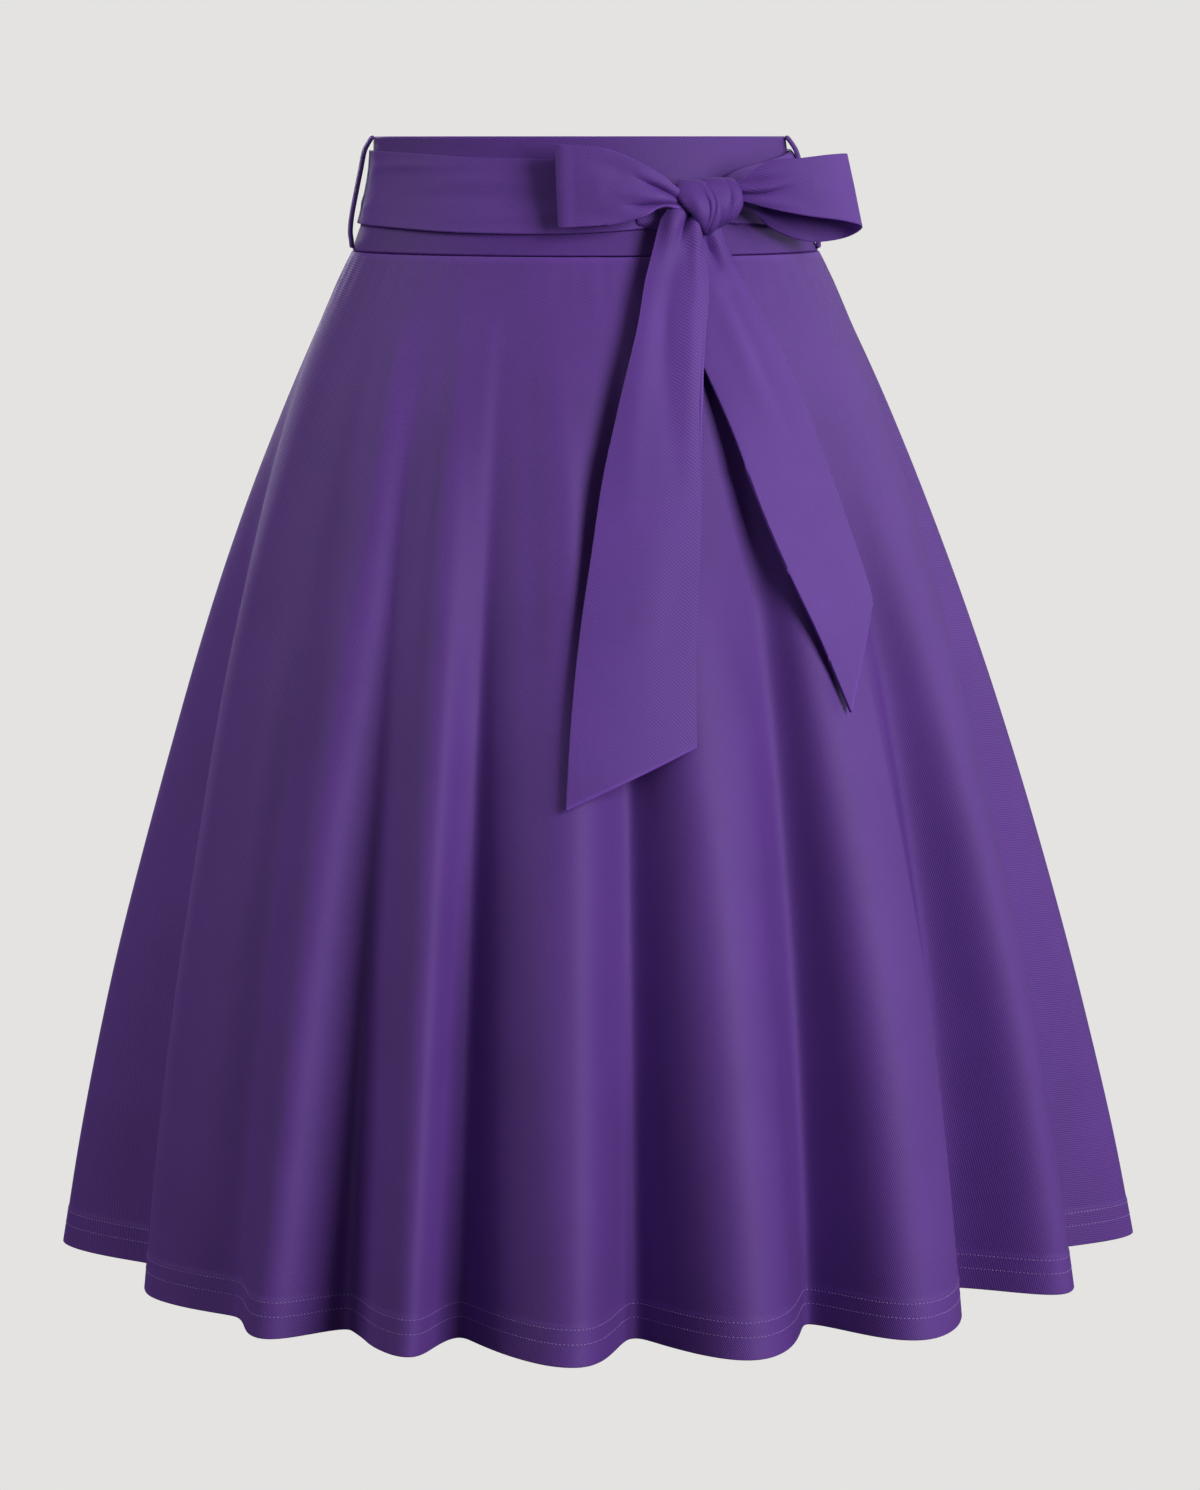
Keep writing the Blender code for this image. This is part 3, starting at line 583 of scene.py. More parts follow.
def surface_normals(grid, round_ring=False):
    """Outward normals of a grid of points whose columns run to the right and rows run down."""
    if round_ring:
        wide = np.concatenate([grid[:, -1:], grid, grid[:, :1]], axis=1)
        along = (wide[:, 2:] - wide[:, :-2]) / 2
    else:
        along = np.gradient(grid, axis=1)
    return unit(np.cross(np.gradient(grid, axis=0), along))


def flat_lengths(grid):
    """Flat places across and down a grid of points, in metres, as its cloth was cut."""
    across = np.zeros(grid.shape[:2])
    down = np.zeros(grid.shape[:2])
    across[:, 1:] = np.cumsum(np.linalg.norm(np.diff(grid, axis=1), axis=-1), axis=1)
    down[1:] = np.cumsum(np.linalg.norm(np.diff(grid, axis=0), axis=-1), axis=0)
    across -= across[:, -1:] / 2
    return across, down


def trim_border(grid, distance, sides="tblr"):
    """Move a grid's border rows and columns inwards, so that its rounded rim ends where it did."""
    grid = grid.copy()
    places = {"t": (0, 1, 0), "b": (-1, -2, 0), "l": (0, 1, 1), "r": (-1, -2, 1)}
    for side in sides:
        end, inner, axis = places[side]
        lines = grid if axis == 0 else grid.swapaxes(0, 1)
        lines[end] += unit(lines[inner] - lines[end]) * distance
    return grid


# ---- meshes ---------------------------------------------------------------------------------


def border_of(rows, columns):
    """The border of a grid, clockwise as seen from outside the cloth."""
    index = np.arange(rows * columns).reshape(rows, columns)
    parts = (index[0, :-1], index[:-1, -1], index[-1, :0:-1], index[:0:-1, 0])
    return np.concatenate(parts)


def cloth_shell(name, grid, wall, material, flat=None, normals=None, rim_steps=4, inner_wall=None):
    """A closed wall of cloth with a rounded rim on both sides of a grid of points."""
    rows, columns = grid.shape[:2]
    if normals is None:
        normals = surface_normals(grid)
    if flat is None:
        flat = flat_lengths(grid)
    inner = wall / 2 if inner_wall is None else inner_wall[..., None]
    border = border_of(rows, columns)
    points = grid.reshape(-1, 3)
    out = normals.reshape(-1, 3)
    tangent = unit(np.roll(points[border], -1, axis=0) - np.roll(points[border], 1, axis=0))
    away = unit(np.cross(out[border], tangent))
    rims = []
    for step in range(1, rim_steps):
        turn = np.pi * step / rim_steps
        rims.append(
            points[border]
            + np.sin(turn) * away * wall / 2
            + np.cos(turn) * out[border] * wall / 2
        )
    outer_skin = (grid + normals * wall / 2).reshape(-1, 3)
    inner_skin = (grid - normals * inner).reshape(-1, 3)
    everything = np.concatenate([outer_skin, inner_skin, *rims])
    total = rows * columns
    index = np.arange(total).reshape(rows, columns)
    a = index[:-1, :-1].ravel()
    b = index[1:, :-1].ravel()
    c = index[1:, 1:].ravel()
    d = index[:-1, 1:].ravel()
    faces = [np.stack([a, b, c, d], axis=1)]
    faces.append(np.stack([a, d, c, b], axis=1) + total)
    rings = [border]
    for step in range(rim_steps - 1):
        rings.append(2 * total + step * len(border) + np.arange(len(border)))
    rings.append(border + total)
    for near, far in zip(rings[:-1], rings[1:]):
        faces.append(np.stack([near, np.roll(near, -1), np.roll(far, -1), far], axis=1))
    faces = np.concatenate(faces)
    flat_points = np.stack([flat[0].ravel(), -flat[1].ravel()], axis=1)
    flat_all = np.concatenate([flat_points, flat_points] + [flat_points[border]] * len(rims))
    # The rounded rims are marked as pressed edges, which the cloth's material lightens as a
    # painted highlight.
    pressed = np.zeros(len(everything))
    pressed[2 * total :] = 1.0
    pressed[border] = 0.6
    pressed[border + total] = 0.6
    return add_piece(name, everything, faces, material, flat_all, pressed)


def add_piece(name, points, faces, material, flat, pressed):
    """A smooth-shaded object with its flat cut as a UV map and its pressed edges marked."""
    mesh = bpy.data.meshes.new(name)
    mesh.from_pydata(points.tolist(), [], faces.tolist())
    mesh.materials.append(material)
    corners = np.zeros(len(mesh.loops), np.int32)
    mesh.loops.foreach_get("vertex_index", corners)
    layer = mesh.uv_layers.new(name="flat_cut")
    layer.data.foreach_set("uv", flat[corners].astype(np.float32).ravel())
    attribute = mesh.attributes.new("pressed", "FLOAT", "POINT")
    attribute.data.foreach_set("value", pressed.astype(np.float32))
    mesh.shade_smooth()
    mesh.validate()
    piece = bpy.data.objects.new(name, mesh)
    bpy.context.scene.collection.objects.link(piece)
    return piece


def join_pieces(name, pieces):
    """One object from several, with the first one's material."""
    with bpy.context.temp_override(
        active_object=pieces[0], selected_editable_objects=pieces, selected_objects=pieces
    ):
        bpy.ops.object.join()
    pieces[0].name = name
    pieces[0].data.name = name
    return pieces[0]


def area_of(piece):
    """Half of a closed wall's surface, in square metres: the area of the cloth it shows."""
    return sum(polygon.area for polygon in piece.data.polygons) / 2


def settle(piece, node):
    """Put a finished piece of cloth in the frame: attach it to its body, hide its CAD node and
    print its area.
    """
    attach(piece, "root")
    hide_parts(node)
    print(f"{piece.name}: area {area_of(piece):.4f} m2, {len(piece.data.polygons)} faces")


# ---- materials ------------------------------------------------------------------------------

WAVE_PITCH = 0.444  # how far apart a diagonal wave's bands are at scale 1
EDGE_HIGHLIGHT_BRIGHTNESS = 2.2  # of the painted highlight on a pressed edge at full strength, against the dyed cloth


def linear(code):
    """Linear red, green and blue of an sRGB hex colour."""
    channels = [int(code[place : place + 2], 16) / 255 for place in (1, 3, 5)]
    return tuple(c / 12.92 if c <= 0.04045 else ((c + 0.055) / 1.055) ** 2.4 for c in channels)


def add_node(tree, kind, values=(), links=(), **settings):
    """A node with its settings, its inputs' values and the sockets that feed its inputs."""
    node = tree.nodes.new(kind)
    for name, value in settings.items():
        setattr(node, name, value)
    for key, value in dict(values).items():
        node.inputs[key].default_value = value
    for key, socket in dict(links).items():
        tree.links.new(socket, node.inputs[key])
    return node


def new_material(name):
    """A material with an empty node tree."""
    material = bpy.data.materials.new(name)
    material.use_nodes = True
    material.node_tree.nodes.clear()
    return material, material.node_tree


def noise(tree, place, scale, detail, roughness=0.5):
    """Noise between 0 and 1 over places."""
    values = {"Scale": scale, "Detail": detail, "Roughness": roughness}
    links = {"Vector": place}
    return add_node(tree, "ShaderNodeTexNoise", values, links).outputs["Fac"]


def remap(tree, value, near, far, low, high):
    """A value that runs from near to far, made to run from low to high."""
    values = {"From Min": near, "From Max": far, "To Min": low, "To Max": high}
    links = {"Value": value}
    return add_node(tree, "ShaderNodeMapRange", values, links).outputs["Result"]


def dye(tree, tint, strength):
    """A colour made darker or lighter by a factor."""
    node = add_node(
        tree, "ShaderNodeVectorMath", {0: tint}, {"Scale": strength}, operation="SCALE"
    )
    return node.outputs["Vector"]


def multiply(tree, values=(), links=()):
    """The product of two values."""
    node = add_node(tree, "ShaderNodeMath", values, links, operation="MULTIPLY")
    return node.outputs["Value"]


def bumps(tree, height, strength, distance):
    """Normals of a surface with a fine relief."""
    values = {"Strength": strength, "Distance": distance}
    links = {"Height": height}
    return add_node(tree, "ShaderNodeBump", values, links).outputs["Normal"]


def twill_cloth(name, tint, sheen, worn):
    """Matt polyester twill crepe: fine diagonal ribs that lean from top left to bottom right, a
    soft bloom where it is seen edge-on, a little unevenness of the dye, and a painted highlight
    along the pressed edges.
    """
    material, tree = new_material(name)
    flat = add_node(tree, "ShaderNodeUVMap", uv_map="flat_cut").outputs["UV"]
    place = add_node(tree, "ShaderNodeTexCoord").outputs["Object"]
    # The real ribs are 0.5 mm apart, too fine to show, so they are drawn coarser.
    rib_pitch = bpy.context.scene.skirt_sizes.rib_pitch
    ribs = add_node(
        tree,
        "ShaderNodeTexWave",
        {"Scale": WAVE_PITCH / rib_pitch, "Distortion": 0.6, "Detail": 1.0, "Detail Scale": 0.4},
        {"Vector": flat},
        bands_direction="DIAGONAL",
    )
    # Thread crossings: short light and dark flecks along the ribs.
    flecks = noise(tree, flat, 1 / rib_pitch, 2.0, 0.6)
    relief = add_node(
        tree,
        "ShaderNodeMix",
        {0: 0.35},
        {2: ribs.outputs["Fac"], 3: flecks},
        data_type="FLOAT",
    ).outputs[0]
    # Dye unevenness, in soft patches about 60 mm and 12 mm across.
    patches = noise(tree, place, 16.0, 3.0, 0.55)
    shade = remap(tree, patches, 0.3, 0.7, 0.94, 1.05)
    thread_shade = remap(tree, relief, 0.2, 0.8, 0.76, 1.16)
    dyed = dye(tree, tint, multiply(tree, links={0: shade, 1: thread_shade}))
    # A painted highlight: pressed edges are mixed towards a lighter colour, as if their folded
    # rims caught the light.
    pressed = add_node(
        tree, "ShaderNodeAttribute", attribute_name="pressed", attribute_type="GEOMETRY"
    ).outputs["Fac"]
    finished = add_node(
        tree,
        "ShaderNodeMix",
        {7: (*[min(1.0, c * EDGE_HIGHLIGHT_BRIGHTNESS) for c in tint], 1.0)},
        {0: multiply(tree, {1: worn}, {0: pressed}), 6: dyed},
        data_type="RGBA",
    )
    shader = add_node(
        tree,
        "ShaderNodeBsdfPrincipled",
        {
            "Metallic": 0.0,
            "IOR": 1.46,
            "Specular IOR Level": 0.38,
            "Sheen Weight": sheen,
            "Sheen Roughness": 0.45,
            "Sheen Tint": (*linear("#B9A3D8"), 1.0),
        },
        {
            "Base Color": finished.outputs[2],
            "Roughness": remap(tree, flecks, 0.2, 0.8, 0.60, 0.74),
            "Normal": bumps(tree, relief, 0.45, 0.0003),
        },
    )
    add_node(tree, "ShaderNodeOutputMaterial", links={"Surface": shader.outputs["BSDF"]})
    material.diffuse_color = (*tint, 1.0)
    return material


def sewing_thread(name, tint):
    """Spun polyester sewing thread: a slight gloss and a twist that runs across the stitch."""
    material, tree = new_material(name)
    place = add_node(tree, "ShaderNodeTexCoord").outputs["Object"]
    # The plies turn once every 0.4 mm.
    twist = noise(tree, place, 2500.0, 1.0)
    shader = add_node(
        tree,
        "ShaderNodeBsdfPrincipled",
        {"Roughness": 0.5, "IOR": 1.5, "Specular IOR Level": 0.4},
        {
            "Base Color": dye(tree, tint, remap(tree, twist, 0.3, 0.7, 0.8, 1.1)),
            "Normal": bumps(tree, twist, 0.5, 0.0001),
        },
    )
    add_node(tree, "ShaderNodeOutputMaterial", links={"Surface": shader.outputs["BSDF"]})
    material.diffuse_color = (*tint, 1.0)
    return material


def studio_paper(name, tint):
    """Seamless studio paper, evenly lit, so that the floor runs into the background."""
    material, tree = new_material(name)
    glow = add_node(tree, "ShaderNodeEmission", {"Color": (*tint, 1.0), "Strength": 1.0})
    add_node(tree, "ShaderNodeOutputMaterial", links={"Surface": glow.outputs["Emission"]})
    return material


def shared(maker, name, *values):
    """A material made once and then used by every piece of that cloth."""
    return bpy.data.materials.get(name) or maker(name, *values)


# Each cloth's material, its sheen and the strength of the painted highlight on its pressed edges.
Cloth = namedtuple("Cloth", "material sheen worn")
CLOTHS = {
    "skirt": Cloth("twill_crepe_skirt", 0.06, 0.25),
    "band": Cloth("twill_crepe_waistband", 0.06, 0.20),
    "sash": Cloth("twill_crepe_sash", 0.12, 0.45),
    "loop": Cloth("twill_crepe_belt_loops", 0.20, 0.30),
}


def cloth_for(kind):
    """The material of one of the cloths."""
    cloth = CLOTHS[kind]
    tint = tuple(getattr(bpy.context.scene.skirt_colours, kind))
    return shared(twill_cloth, cloth.material, tint, cloth.sheen, cloth.worn)


# ---- settings -------------------------------------------------------------------------------


def length(name, description, metres):
    """A setting for a length."""
    return FloatProperty(
        name=name, description=description, default=metres, unit="LENGTH", precision=5
    )


def colour(name, description, code):
    """A setting for a colour, from its sRGB hex code."""
    return FloatVectorProperty(
        name=name, description=description, subtype="COLOR", default=linear(code)
    )


class SkirtSizes(bpy.types.PropertyGroup):
    """Sizes of the cloth and the sewing."""

    cloth_wall: length("Skirt cloth", "Thickness of the skirt's cloth", 0.0012)
    sash_wall: length("Sash", "Thickness of the doubled sash", 0.0019)
    rib_pitch: length("Twill ribs", "Distance between the twill's diagonal ribs", 0.0014)
    hem_turn: length("Hem turning", "Height of the turned-up hem", 0.0225)
    upper_row: length("Upper stitching", "Height of the upper stitches above the hem", 0.0205)
    lower_row: length("Lower stitching", "Height of the lower stitches above the hem", 0.0125)
    stitch_pitch: length("Stitch pitch", "Distance from one stitch to the next", 0.0024)
    stitch_length: length("Stitch length", "Length of the part of a stitch that shows", 0.0015)
    thread_width: length("Thread", "Width of the sewing thread", 0.0005)


class SkirtColours(bpy.types.PropertyGroup):
    """Colours of the cloth and the thread."""

    skirt: colour("Skirt", "Dye of the skirt's panels", "#5B3489")
    # The waistband's dye is darker than the skirt's: painted shade, for the upright band that
    # faces away from the key light.
    band: colour("Waistband", "Dye of the waistband", "#522B80")
    sash: colour("Sash", "Dye of the sash", "#5D358E")
    loop: colour("Belt loops", "Dye of the belt loops", "#532D80")
    thread: colour("Thread", "Dye of the hem's sewing thread", "#9C84BE")
    paper: colour("Paper", "Colour of the studio floor and background", "#E4E3E1")


# ---- the skirt's panels ---------------------------------------------------------------------


def hem_share():
    """Share of the way down at which the turned-up hem begins."""
    return 1 - bpy.context.scene.skirt_sizes.hem_turn / (HEM_DROP - SEAM_DROP)


def in_hem(shares):
    """From 0 above the turned-up hem to 1 in it, with a soft step between."""
    return ease(np.clip((shares - hem_share() + 0.0014) / 0.0028, 0, 1))


def skirt_rows():
    """Shares of the way down, close together at the seam and at the hem's turning."""
    turn = hem_share()
    top = np.linspace(0, 0.06, 9)
    middle = np.linspace(0.06, turn - 0.004, 64)[1:]
    hem = np.array([turn - 0.0014, turn, turn + 0.0014, turn + 0.004])
    low = np.linspace(turn + 0.010, 0.996, 6)
    return np.concatenate([top, middle, hem, low, [0.9985, 1.0]])


def skirt_form():
    """The whole fluted form with its creases: points, normals and rows."""
    turns_round = 2 * len(FOLDS)
    turns = np.arange(FRONT_FROM, FRONT_FROM + turns_round, 1 / COLUMNS_PER_TURN)
    rows = skirt_rows()
    rings = [fluted_ring(share, turns) for share in rows]
    grid = np.array([ring[0] for ring in rings])
    # The bend at the bottom of each valley is rounded by the cloth's stiffness.
    for _ in range(VALLEY_ROUNDING):
        grid = (np.roll(grid, 1, axis=1) + 2 * grid + np.roll(grid, -1, axis=1)) / 4
    angles = np.array([ring[1] for ring in rings])
    down = np.broadcast_to(rows[:, None], angles.shape)
    normals = surface_normals(grid, round_ring=True)
    height = np.zeros_like(angles)
    lap = 360 * CREASE_MM_PER_DEGREE
    for across in (-lap, 0, lap):
        places = angles * CREASE_MM_PER_DEGREE + across
        height += crease_height(SKIRT_CREASES, places, down * CREASE_MM_DOWN)
    fade = ease(np.clip(down / 0.25, 0, 1))
    around = np.radians(angles)
    slow = ripple(np.sin(around) * 0.35, np.cos(around) * 0.35 + down * 0.5, 11)
    height += slow * SKIRT_UNEVENNESS * fade
    # The turned-up hem is a second layer, so it stands a little proud.
    height += HEM_STAND * in_hem(down)
    # Small pulls under the waist seam, where the circle's inner edge is eased into the band.
    pulls = np.sin(around * 41 + 3 * np.sin(around * 3)) * np.sin(around * 23 + 1)
    height += SEAM_PULL * pulls * np.exp(-((down - 0.02) / 0.03) ** 2) * np.clip(down / 0.01, 0, 1)
    grid = grid + normals * height[..., None]
    normals = surface_normals(grid, round_ring=True)
    return grid, normals, rows


def flat_sector(shape, rows):
    """Flat places of a panel's grid: a quarter of a ring, as the panel was cut."""
    spread = np.radians(np.linspace(-45, 45, shape[1]))[None, :]
    radius = (SECTOR_RADIUS + rows * SECTOR_LENGTH)[:, None]
    return radius * np.sin(spread), radius * np.cos(spread)


class SKIRT_OT_panels(bpy.types.Operator):
    """Build the front and the back panel with their flutes, creases and turned-up hem"""

    bl_idname = "skirt.add_panels"
    bl_label = "Skirt panels"

    def execute(self, context):
        wall = context.scene.skirt_sizes.cloth_wall
        grid, normals, rows = skirt_form()
        normals[0] = level(normals[0])
        closed = np.concatenate([grid, grid[:, :1]], axis=1)
        closed_normals = np.concatenate([normals, normals[:, :1]], axis=1)
        side = (FRONT_TO - FRONT_FROM) * COLUMNS_PER_TURN
        doubled = HEM_DOUBLING * in_hem(rows)
        doubled[-1] = 0.0
        cuts = (("skirt_front", slice(0, side + 1)), ("skirt_back", slice(side, None)))
        for node, cut in cuts:
            part = trim_border(closed[:, cut], wall / 2 + GAP / 2, "tb")
            # Along the side seams the two rims touch, as seamed cloth does.
            part = trim_border(part, wall / 2 - 0.0001, "lr")
            inner = np.broadcast_to((wall / 2 + doubled)[:, None], part.shape[:2]).copy()
            inner[:, 0] = wall / 2
            inner[:, -1] = wall / 2
            piece = cloth_shell(
                node + "_cloth",
                part,
                wall,
                cloth_for("skirt"),
                flat=flat_sector(part.shape, rows),
                normals=closed_normals[:, cut],
                inner_wall=inner,
            )
            stitches = add_hem_stitches(node, part, closed_normals[:, cut], rows, wall)
            settle(
                piece,
                node,
            )
        return {"FINISHED"}


# ---- the hem's stitching --------------------------------------------------------------------

THREAD_FLATNESS = 0.7  # a stitch's height, for its width


def stitch_tree():
    """Geometry nodes that lay stitches along a path of edges with an outward direction."""
    tree = bpy.data.node_groups.new("stitches_along_a_path", "GeometryNodeTree")
    tree.interface.new_socket(name="Path", in_out="INPUT", socket_type="NodeSocketGeometry")
    for name in ("Pitch", "Length", "Width", "Height"):
        socket = tree.interface.new_socket(
            name=name, in_out="INPUT", socket_type="NodeSocketFloat"
        )
        socket.default_value = 0.001
    tree.interface.new_socket(name="Thread", in_out="INPUT", socket_type="NodeSocketMaterial")
    tree.interface.new_socket(name="Stitches", in_out="OUTPUT", socket_type="NodeSocketGeometry")
    given = add_node(tree, "NodeGroupInput").outputs
    path = add_node(tree, "GeometryNodeMeshToCurve", links={"Mesh": given["Path"]})
    even = add_node(
        tree,
        "GeometryNodeResampleCurve",
        links={"Curve": path.outputs["Curve"], "Length": given["Pitch"]},
        mode="LENGTH",
    )
    bead = add_node(
        tree, "GeometryNodeMeshUVSphere", values={"Segments": 6, "Rings": 4, "Radius": 0.5}
    )
    size = add_node(
        tree,
        "ShaderNodeCombineXYZ",
        links={"X": given["Length"], "Y": given["Width"], "Z": given["Height"]},
    )
    stitch = add_node(
        tree,
        "GeometryNodeTransform",
        links={"Geometry": bead.outputs["Mesh"], "Scale": size.outputs["Vector"]},
    )
    soft = add_node(
        tree, "GeometryNodeSetShadeSmooth", links={"Geometry": stitch.outputs["Geometry"]}
    )
    out = add_node(
        tree,
        "GeometryNodeInputNamedAttribute",
        values={"Name": "out"},
        data_type="FLOAT_VECTOR",
    )
    tangent = add_node(tree, "GeometryNodeInputTangent")
    upright = add_node(
        tree,
        "FunctionNodeAlignRotationToVector",
        links={"Vector": out.outputs["Attribute"]},
        axis="Z",
    )
    aimed = add_node(
        tree,
        "FunctionNodeAlignRotationToVector",
        links={"Rotation": upright.outputs["Rotation"], "Vector": tangent.outputs["Tangent"]},
        axis="X",
        pivot_axis="Z",
    )
    uneven = add_node(
        tree,
        "FunctionNodeRandomValue",
        values={"Min": (0.85, 0.9, 0.9), "Max": (1.1, 1.1, 1.1), "Seed": 5},
        data_type="FLOAT_VECTOR",
    )
    placed = add_node(
        tree,
        "GeometryNodeInstanceOnPoints",
        links={
            "Points": even.outputs["Curve"],
            "Instance": soft.outputs["Geometry"],
            "Rotation": aimed.outputs["Rotation"],
            "Scale": uneven.outputs["Value"],
        },
    )
    real = add_node(
        tree, "GeometryNodeRealizeInstances", links={"Geometry": placed.outputs["Instances"]}
    )
    finished = add_node(
        tree,
        "GeometryNodeSetMaterial",
        links={"Geometry": real.outputs["Geometry"], "Material": given["Thread"]},
    )
    add_node(tree, "NodeGroupOutput", links={"Stitches": finished.outputs["Geometry"]})
    return tree


def row_on_cloth(grid, normals, rows, height, lift):
    """Points and outward directions on the outer face, at a height above the hem."""
    share = 1 - height / (HEM_DROP - SEAM_DROP)
    row = np.searchsorted(rows, share) - 1
    part = (share - rows[row]) / (rows[row + 1] - rows[row])
    points = grid[row] * (1 - part) + grid[row + 1] * part
    out = unit(normals[row] * (1 - part) + normals[row + 1] * part)
    return points + out * lift, out


def add_hem_stitches(node, grid, normals, rows, wall):
    """The twin rows of stitches that hold one panel's hem."""
    sizes = bpy.context.scene.skirt_sizes
    colours = bpy.context.scene.skirt_colours
    thread = shared(sewing_thread, "polyester_thread", tuple(colours.thread))
    points = []
    out = []
    edges = []
    for height in (sizes.upper_row, sizes.lower_row):
        line, line_out = row_on_cloth(grid, normals, rows, height, wall / 2)
        first = len(points)
        points.extend(line[2:-2].tolist())
        out.extend(line_out[2:-2].ravel().tolist())
        edges.extend((place, place + 1) for place in range(first, len(points) - 1))
    path = bpy.data.meshes.new(node + "_hem_path")
    path.from_pydata(points, edges, [])
    path.attributes.new("out", "FLOAT_VECTOR", "POINT").data.foreach_set("vector", out)
    guide = bpy.data.objects.new(node + "_hem_path", path)
    bpy.context.scene.collection.objects.link(guide)
    tree = bpy.data.node_groups.get("stitches_along_a_path") or stitch_tree()
    modifier = guide.modifiers.new("stitches", "NODES")
    modifier.node_group = tree
    values = {
        "Pitch": sizes.stitch_pitch,
        "Length": sizes.stitch_length,
        "Width": sizes.thread_width,
        "Height": sizes.thread_width * THREAD_FLATNESS,
        "Thread": thread,
    }
    for item in tree.interface.items_tree:
        if item.in_out == "INPUT" and item.name in values:
            modifier[item.identifier] = values[item.name]
    graph = bpy.context.evaluated_depsgraph_get()
    mesh = bpy.data.meshes.new_from_object(guide.evaluated_get(graph), depsgraph=graph)
    name = "hem_stitches_" + node.split("_")[1]
    stitches = bpy.data.objects.new(name, mesh)
    bpy.context.scene.collection.objects.link(stitches)
    bpy.data.objects.remove(guide)
    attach(stitches, "root")
    return stitches


# ---- the waistband, its loops and the sash --------------------------------------------------


class SKIRT_OT_waistband(bpy.types.Operator):
    """Build the front and the back half of the doubled waistband"""

    bl_idname = "skirt.add_waistband"
    bl_label = "Waistband"

    def execute(self, context):
        shares = edge_dense(26)[:, None]
        for node, start in (("waistband_front", -90), ("waistband_back", 90)):
            angles = np.linspace(start, start + 180, 181)[None, :]
            drops = shares * (seam_drop(angles) - GAP / 2)
            angles = np.broadcast_to(angles, drops.shape)
            grid = band_point(angles, drops, 0.0)
            normals = level(surface_normals(grid))
            around = np.radians(angles)
            uneven = ripple(np.sin(around) * 0.2, drops * 2 + np.cos(around) * 0.2, 3)
            middle = np.sin(np.pi * np.clip(drops / SEAM_DROP, 0, 1))
            grid = grid + normals * (uneven * middle * BAND_UNEVENNESS)[..., None]
            grid = trim_border(grid, BAND_WALL / 2 + GAP / 2)
            cloth = cloth_for("band")
            piece = cloth_shell(node + "_cloth", grid, BAND_WALL, cloth, normals=normals)
            settle(piece, node)
        return {"FINISHED"}


class SKIRT_OT_belt_loops(bpy.types.Operator):
    """Build the two narrow loops that hold the sash at the sides"""

    bl_idname = "skirt.add_belt_loops"
    bl_label = "Belt loops"

    def execute(self, context):
        for side, angle in (("left", -LOOP_ANGLE), ("right", LOOP_ANGLE)):
            knots = np.arange(len(LOOP_SECTIONS))
            places = np.linspace(0, knots[-1], 60)
            drops = smooth(knots, column(LOOP_SECTIONS, "drop"), places)
            clears = smooth(knots, column(LOOP_SECTIONS, "clear"), places)
            angles = np.full_like(drops, angle)
            middle = band_point(angles, drops, clears)
            ahead = unit(band_point(angles + 1, drops, clears) - middle)
            across = np.linspace(-0.5, 0.5, 11)
            lean = 0.0006 * np.sin(places * 0.9)[:, None]
            grid = middle[:, None] + ahead[:, None] * (across * LOOP_WIDTH + lean)[..., None]
            # The strip is folded in three, so its middle is a little fuller than its edges.
            crown = 0.0003 * (1 - (2 * across) ** 2)
            grid = grid + surface_normals(grid) * crown[None, :, None]
            grid = trim_border(grid, LOOP_WALL / 2, "lr")
            node = "belt_loop_" + side
            piece = cloth_shell(node + "_cloth", grid, LOOP_WALL, cloth_for("loop"))
            settle(
                piece,
                node,
            )
        return {"FINISHED"}


def add_sash_stretch(node, start, end, creases):
    """A stretch of the sash that lies on the waistband between two angles."""
    wall = bpy.context.scene.skirt_sizes.sash_wall
    angles = np.linspace(start, end, int(end - start) + 1)
    known = column(SASH_SECTIONS, "angle")
    lookup = np.where(angles > 270, angles - 360, angles)
    top = smooth(known, column(SASH_SECTIONS, "top"), lookup)
    low = smooth(known, column(SASH_SECTIONS, "low"), lookup)
    shares = edge_dense(30)[:, None]
    drops = top + (low - top) * shares
    angles = np.broadcast_to(angles, drops.shape)
    grid = band_point(angles, drops, BAND_WALL / 2 + 2 * GAP + 0.0010)
    normals = level(surface_normals(grid))
    height = crease_height(creases, angles * 2, drops * 1000)
    height += 0.0004 * np.sin(np.pi * shares)
    # The cloth lies on the band, so a trough only lowers it to the band.
    height = np.maximum(height, -0.0002) * np.clip(20 * shares * (1 - shares), 0, 1)
    grid = grid + normals * height[..., None]
    grid = trim_border(grid, wall / 2 + GAP / 2)
    piece = cloth_shell(node + "_cloth", grid, wall, cloth_for("sash"))
    settle(piece, node)


class SKIRT_OT_sash(bpy.types.Operator):
    """Build the three stretches of the sash that lie on the waistband"""

    bl_idname = "skirt.add_sash"
    bl_label = "Sash round the waist"

    def execute(self, context):
        add_sash_stretch(
            "sash_front_left", -LOOP_ANGLE, KNOT_ANGLE, SASH_LEFT_CREASES
        )
        add_sash_stretch(
            "sash_front_right", KNOT_ANGLE, LOOP_ANGLE, SASH_RIGHT_CREASES
        )
        add_sash_stretch(
            "sash_back", LOOP_ANGLE, 360 - LOOP_ANGLE, SASH_BACK_CREASES
        )
        return {"FINISHED"}


# ---- the bow --------------------------------------------------------------------------------


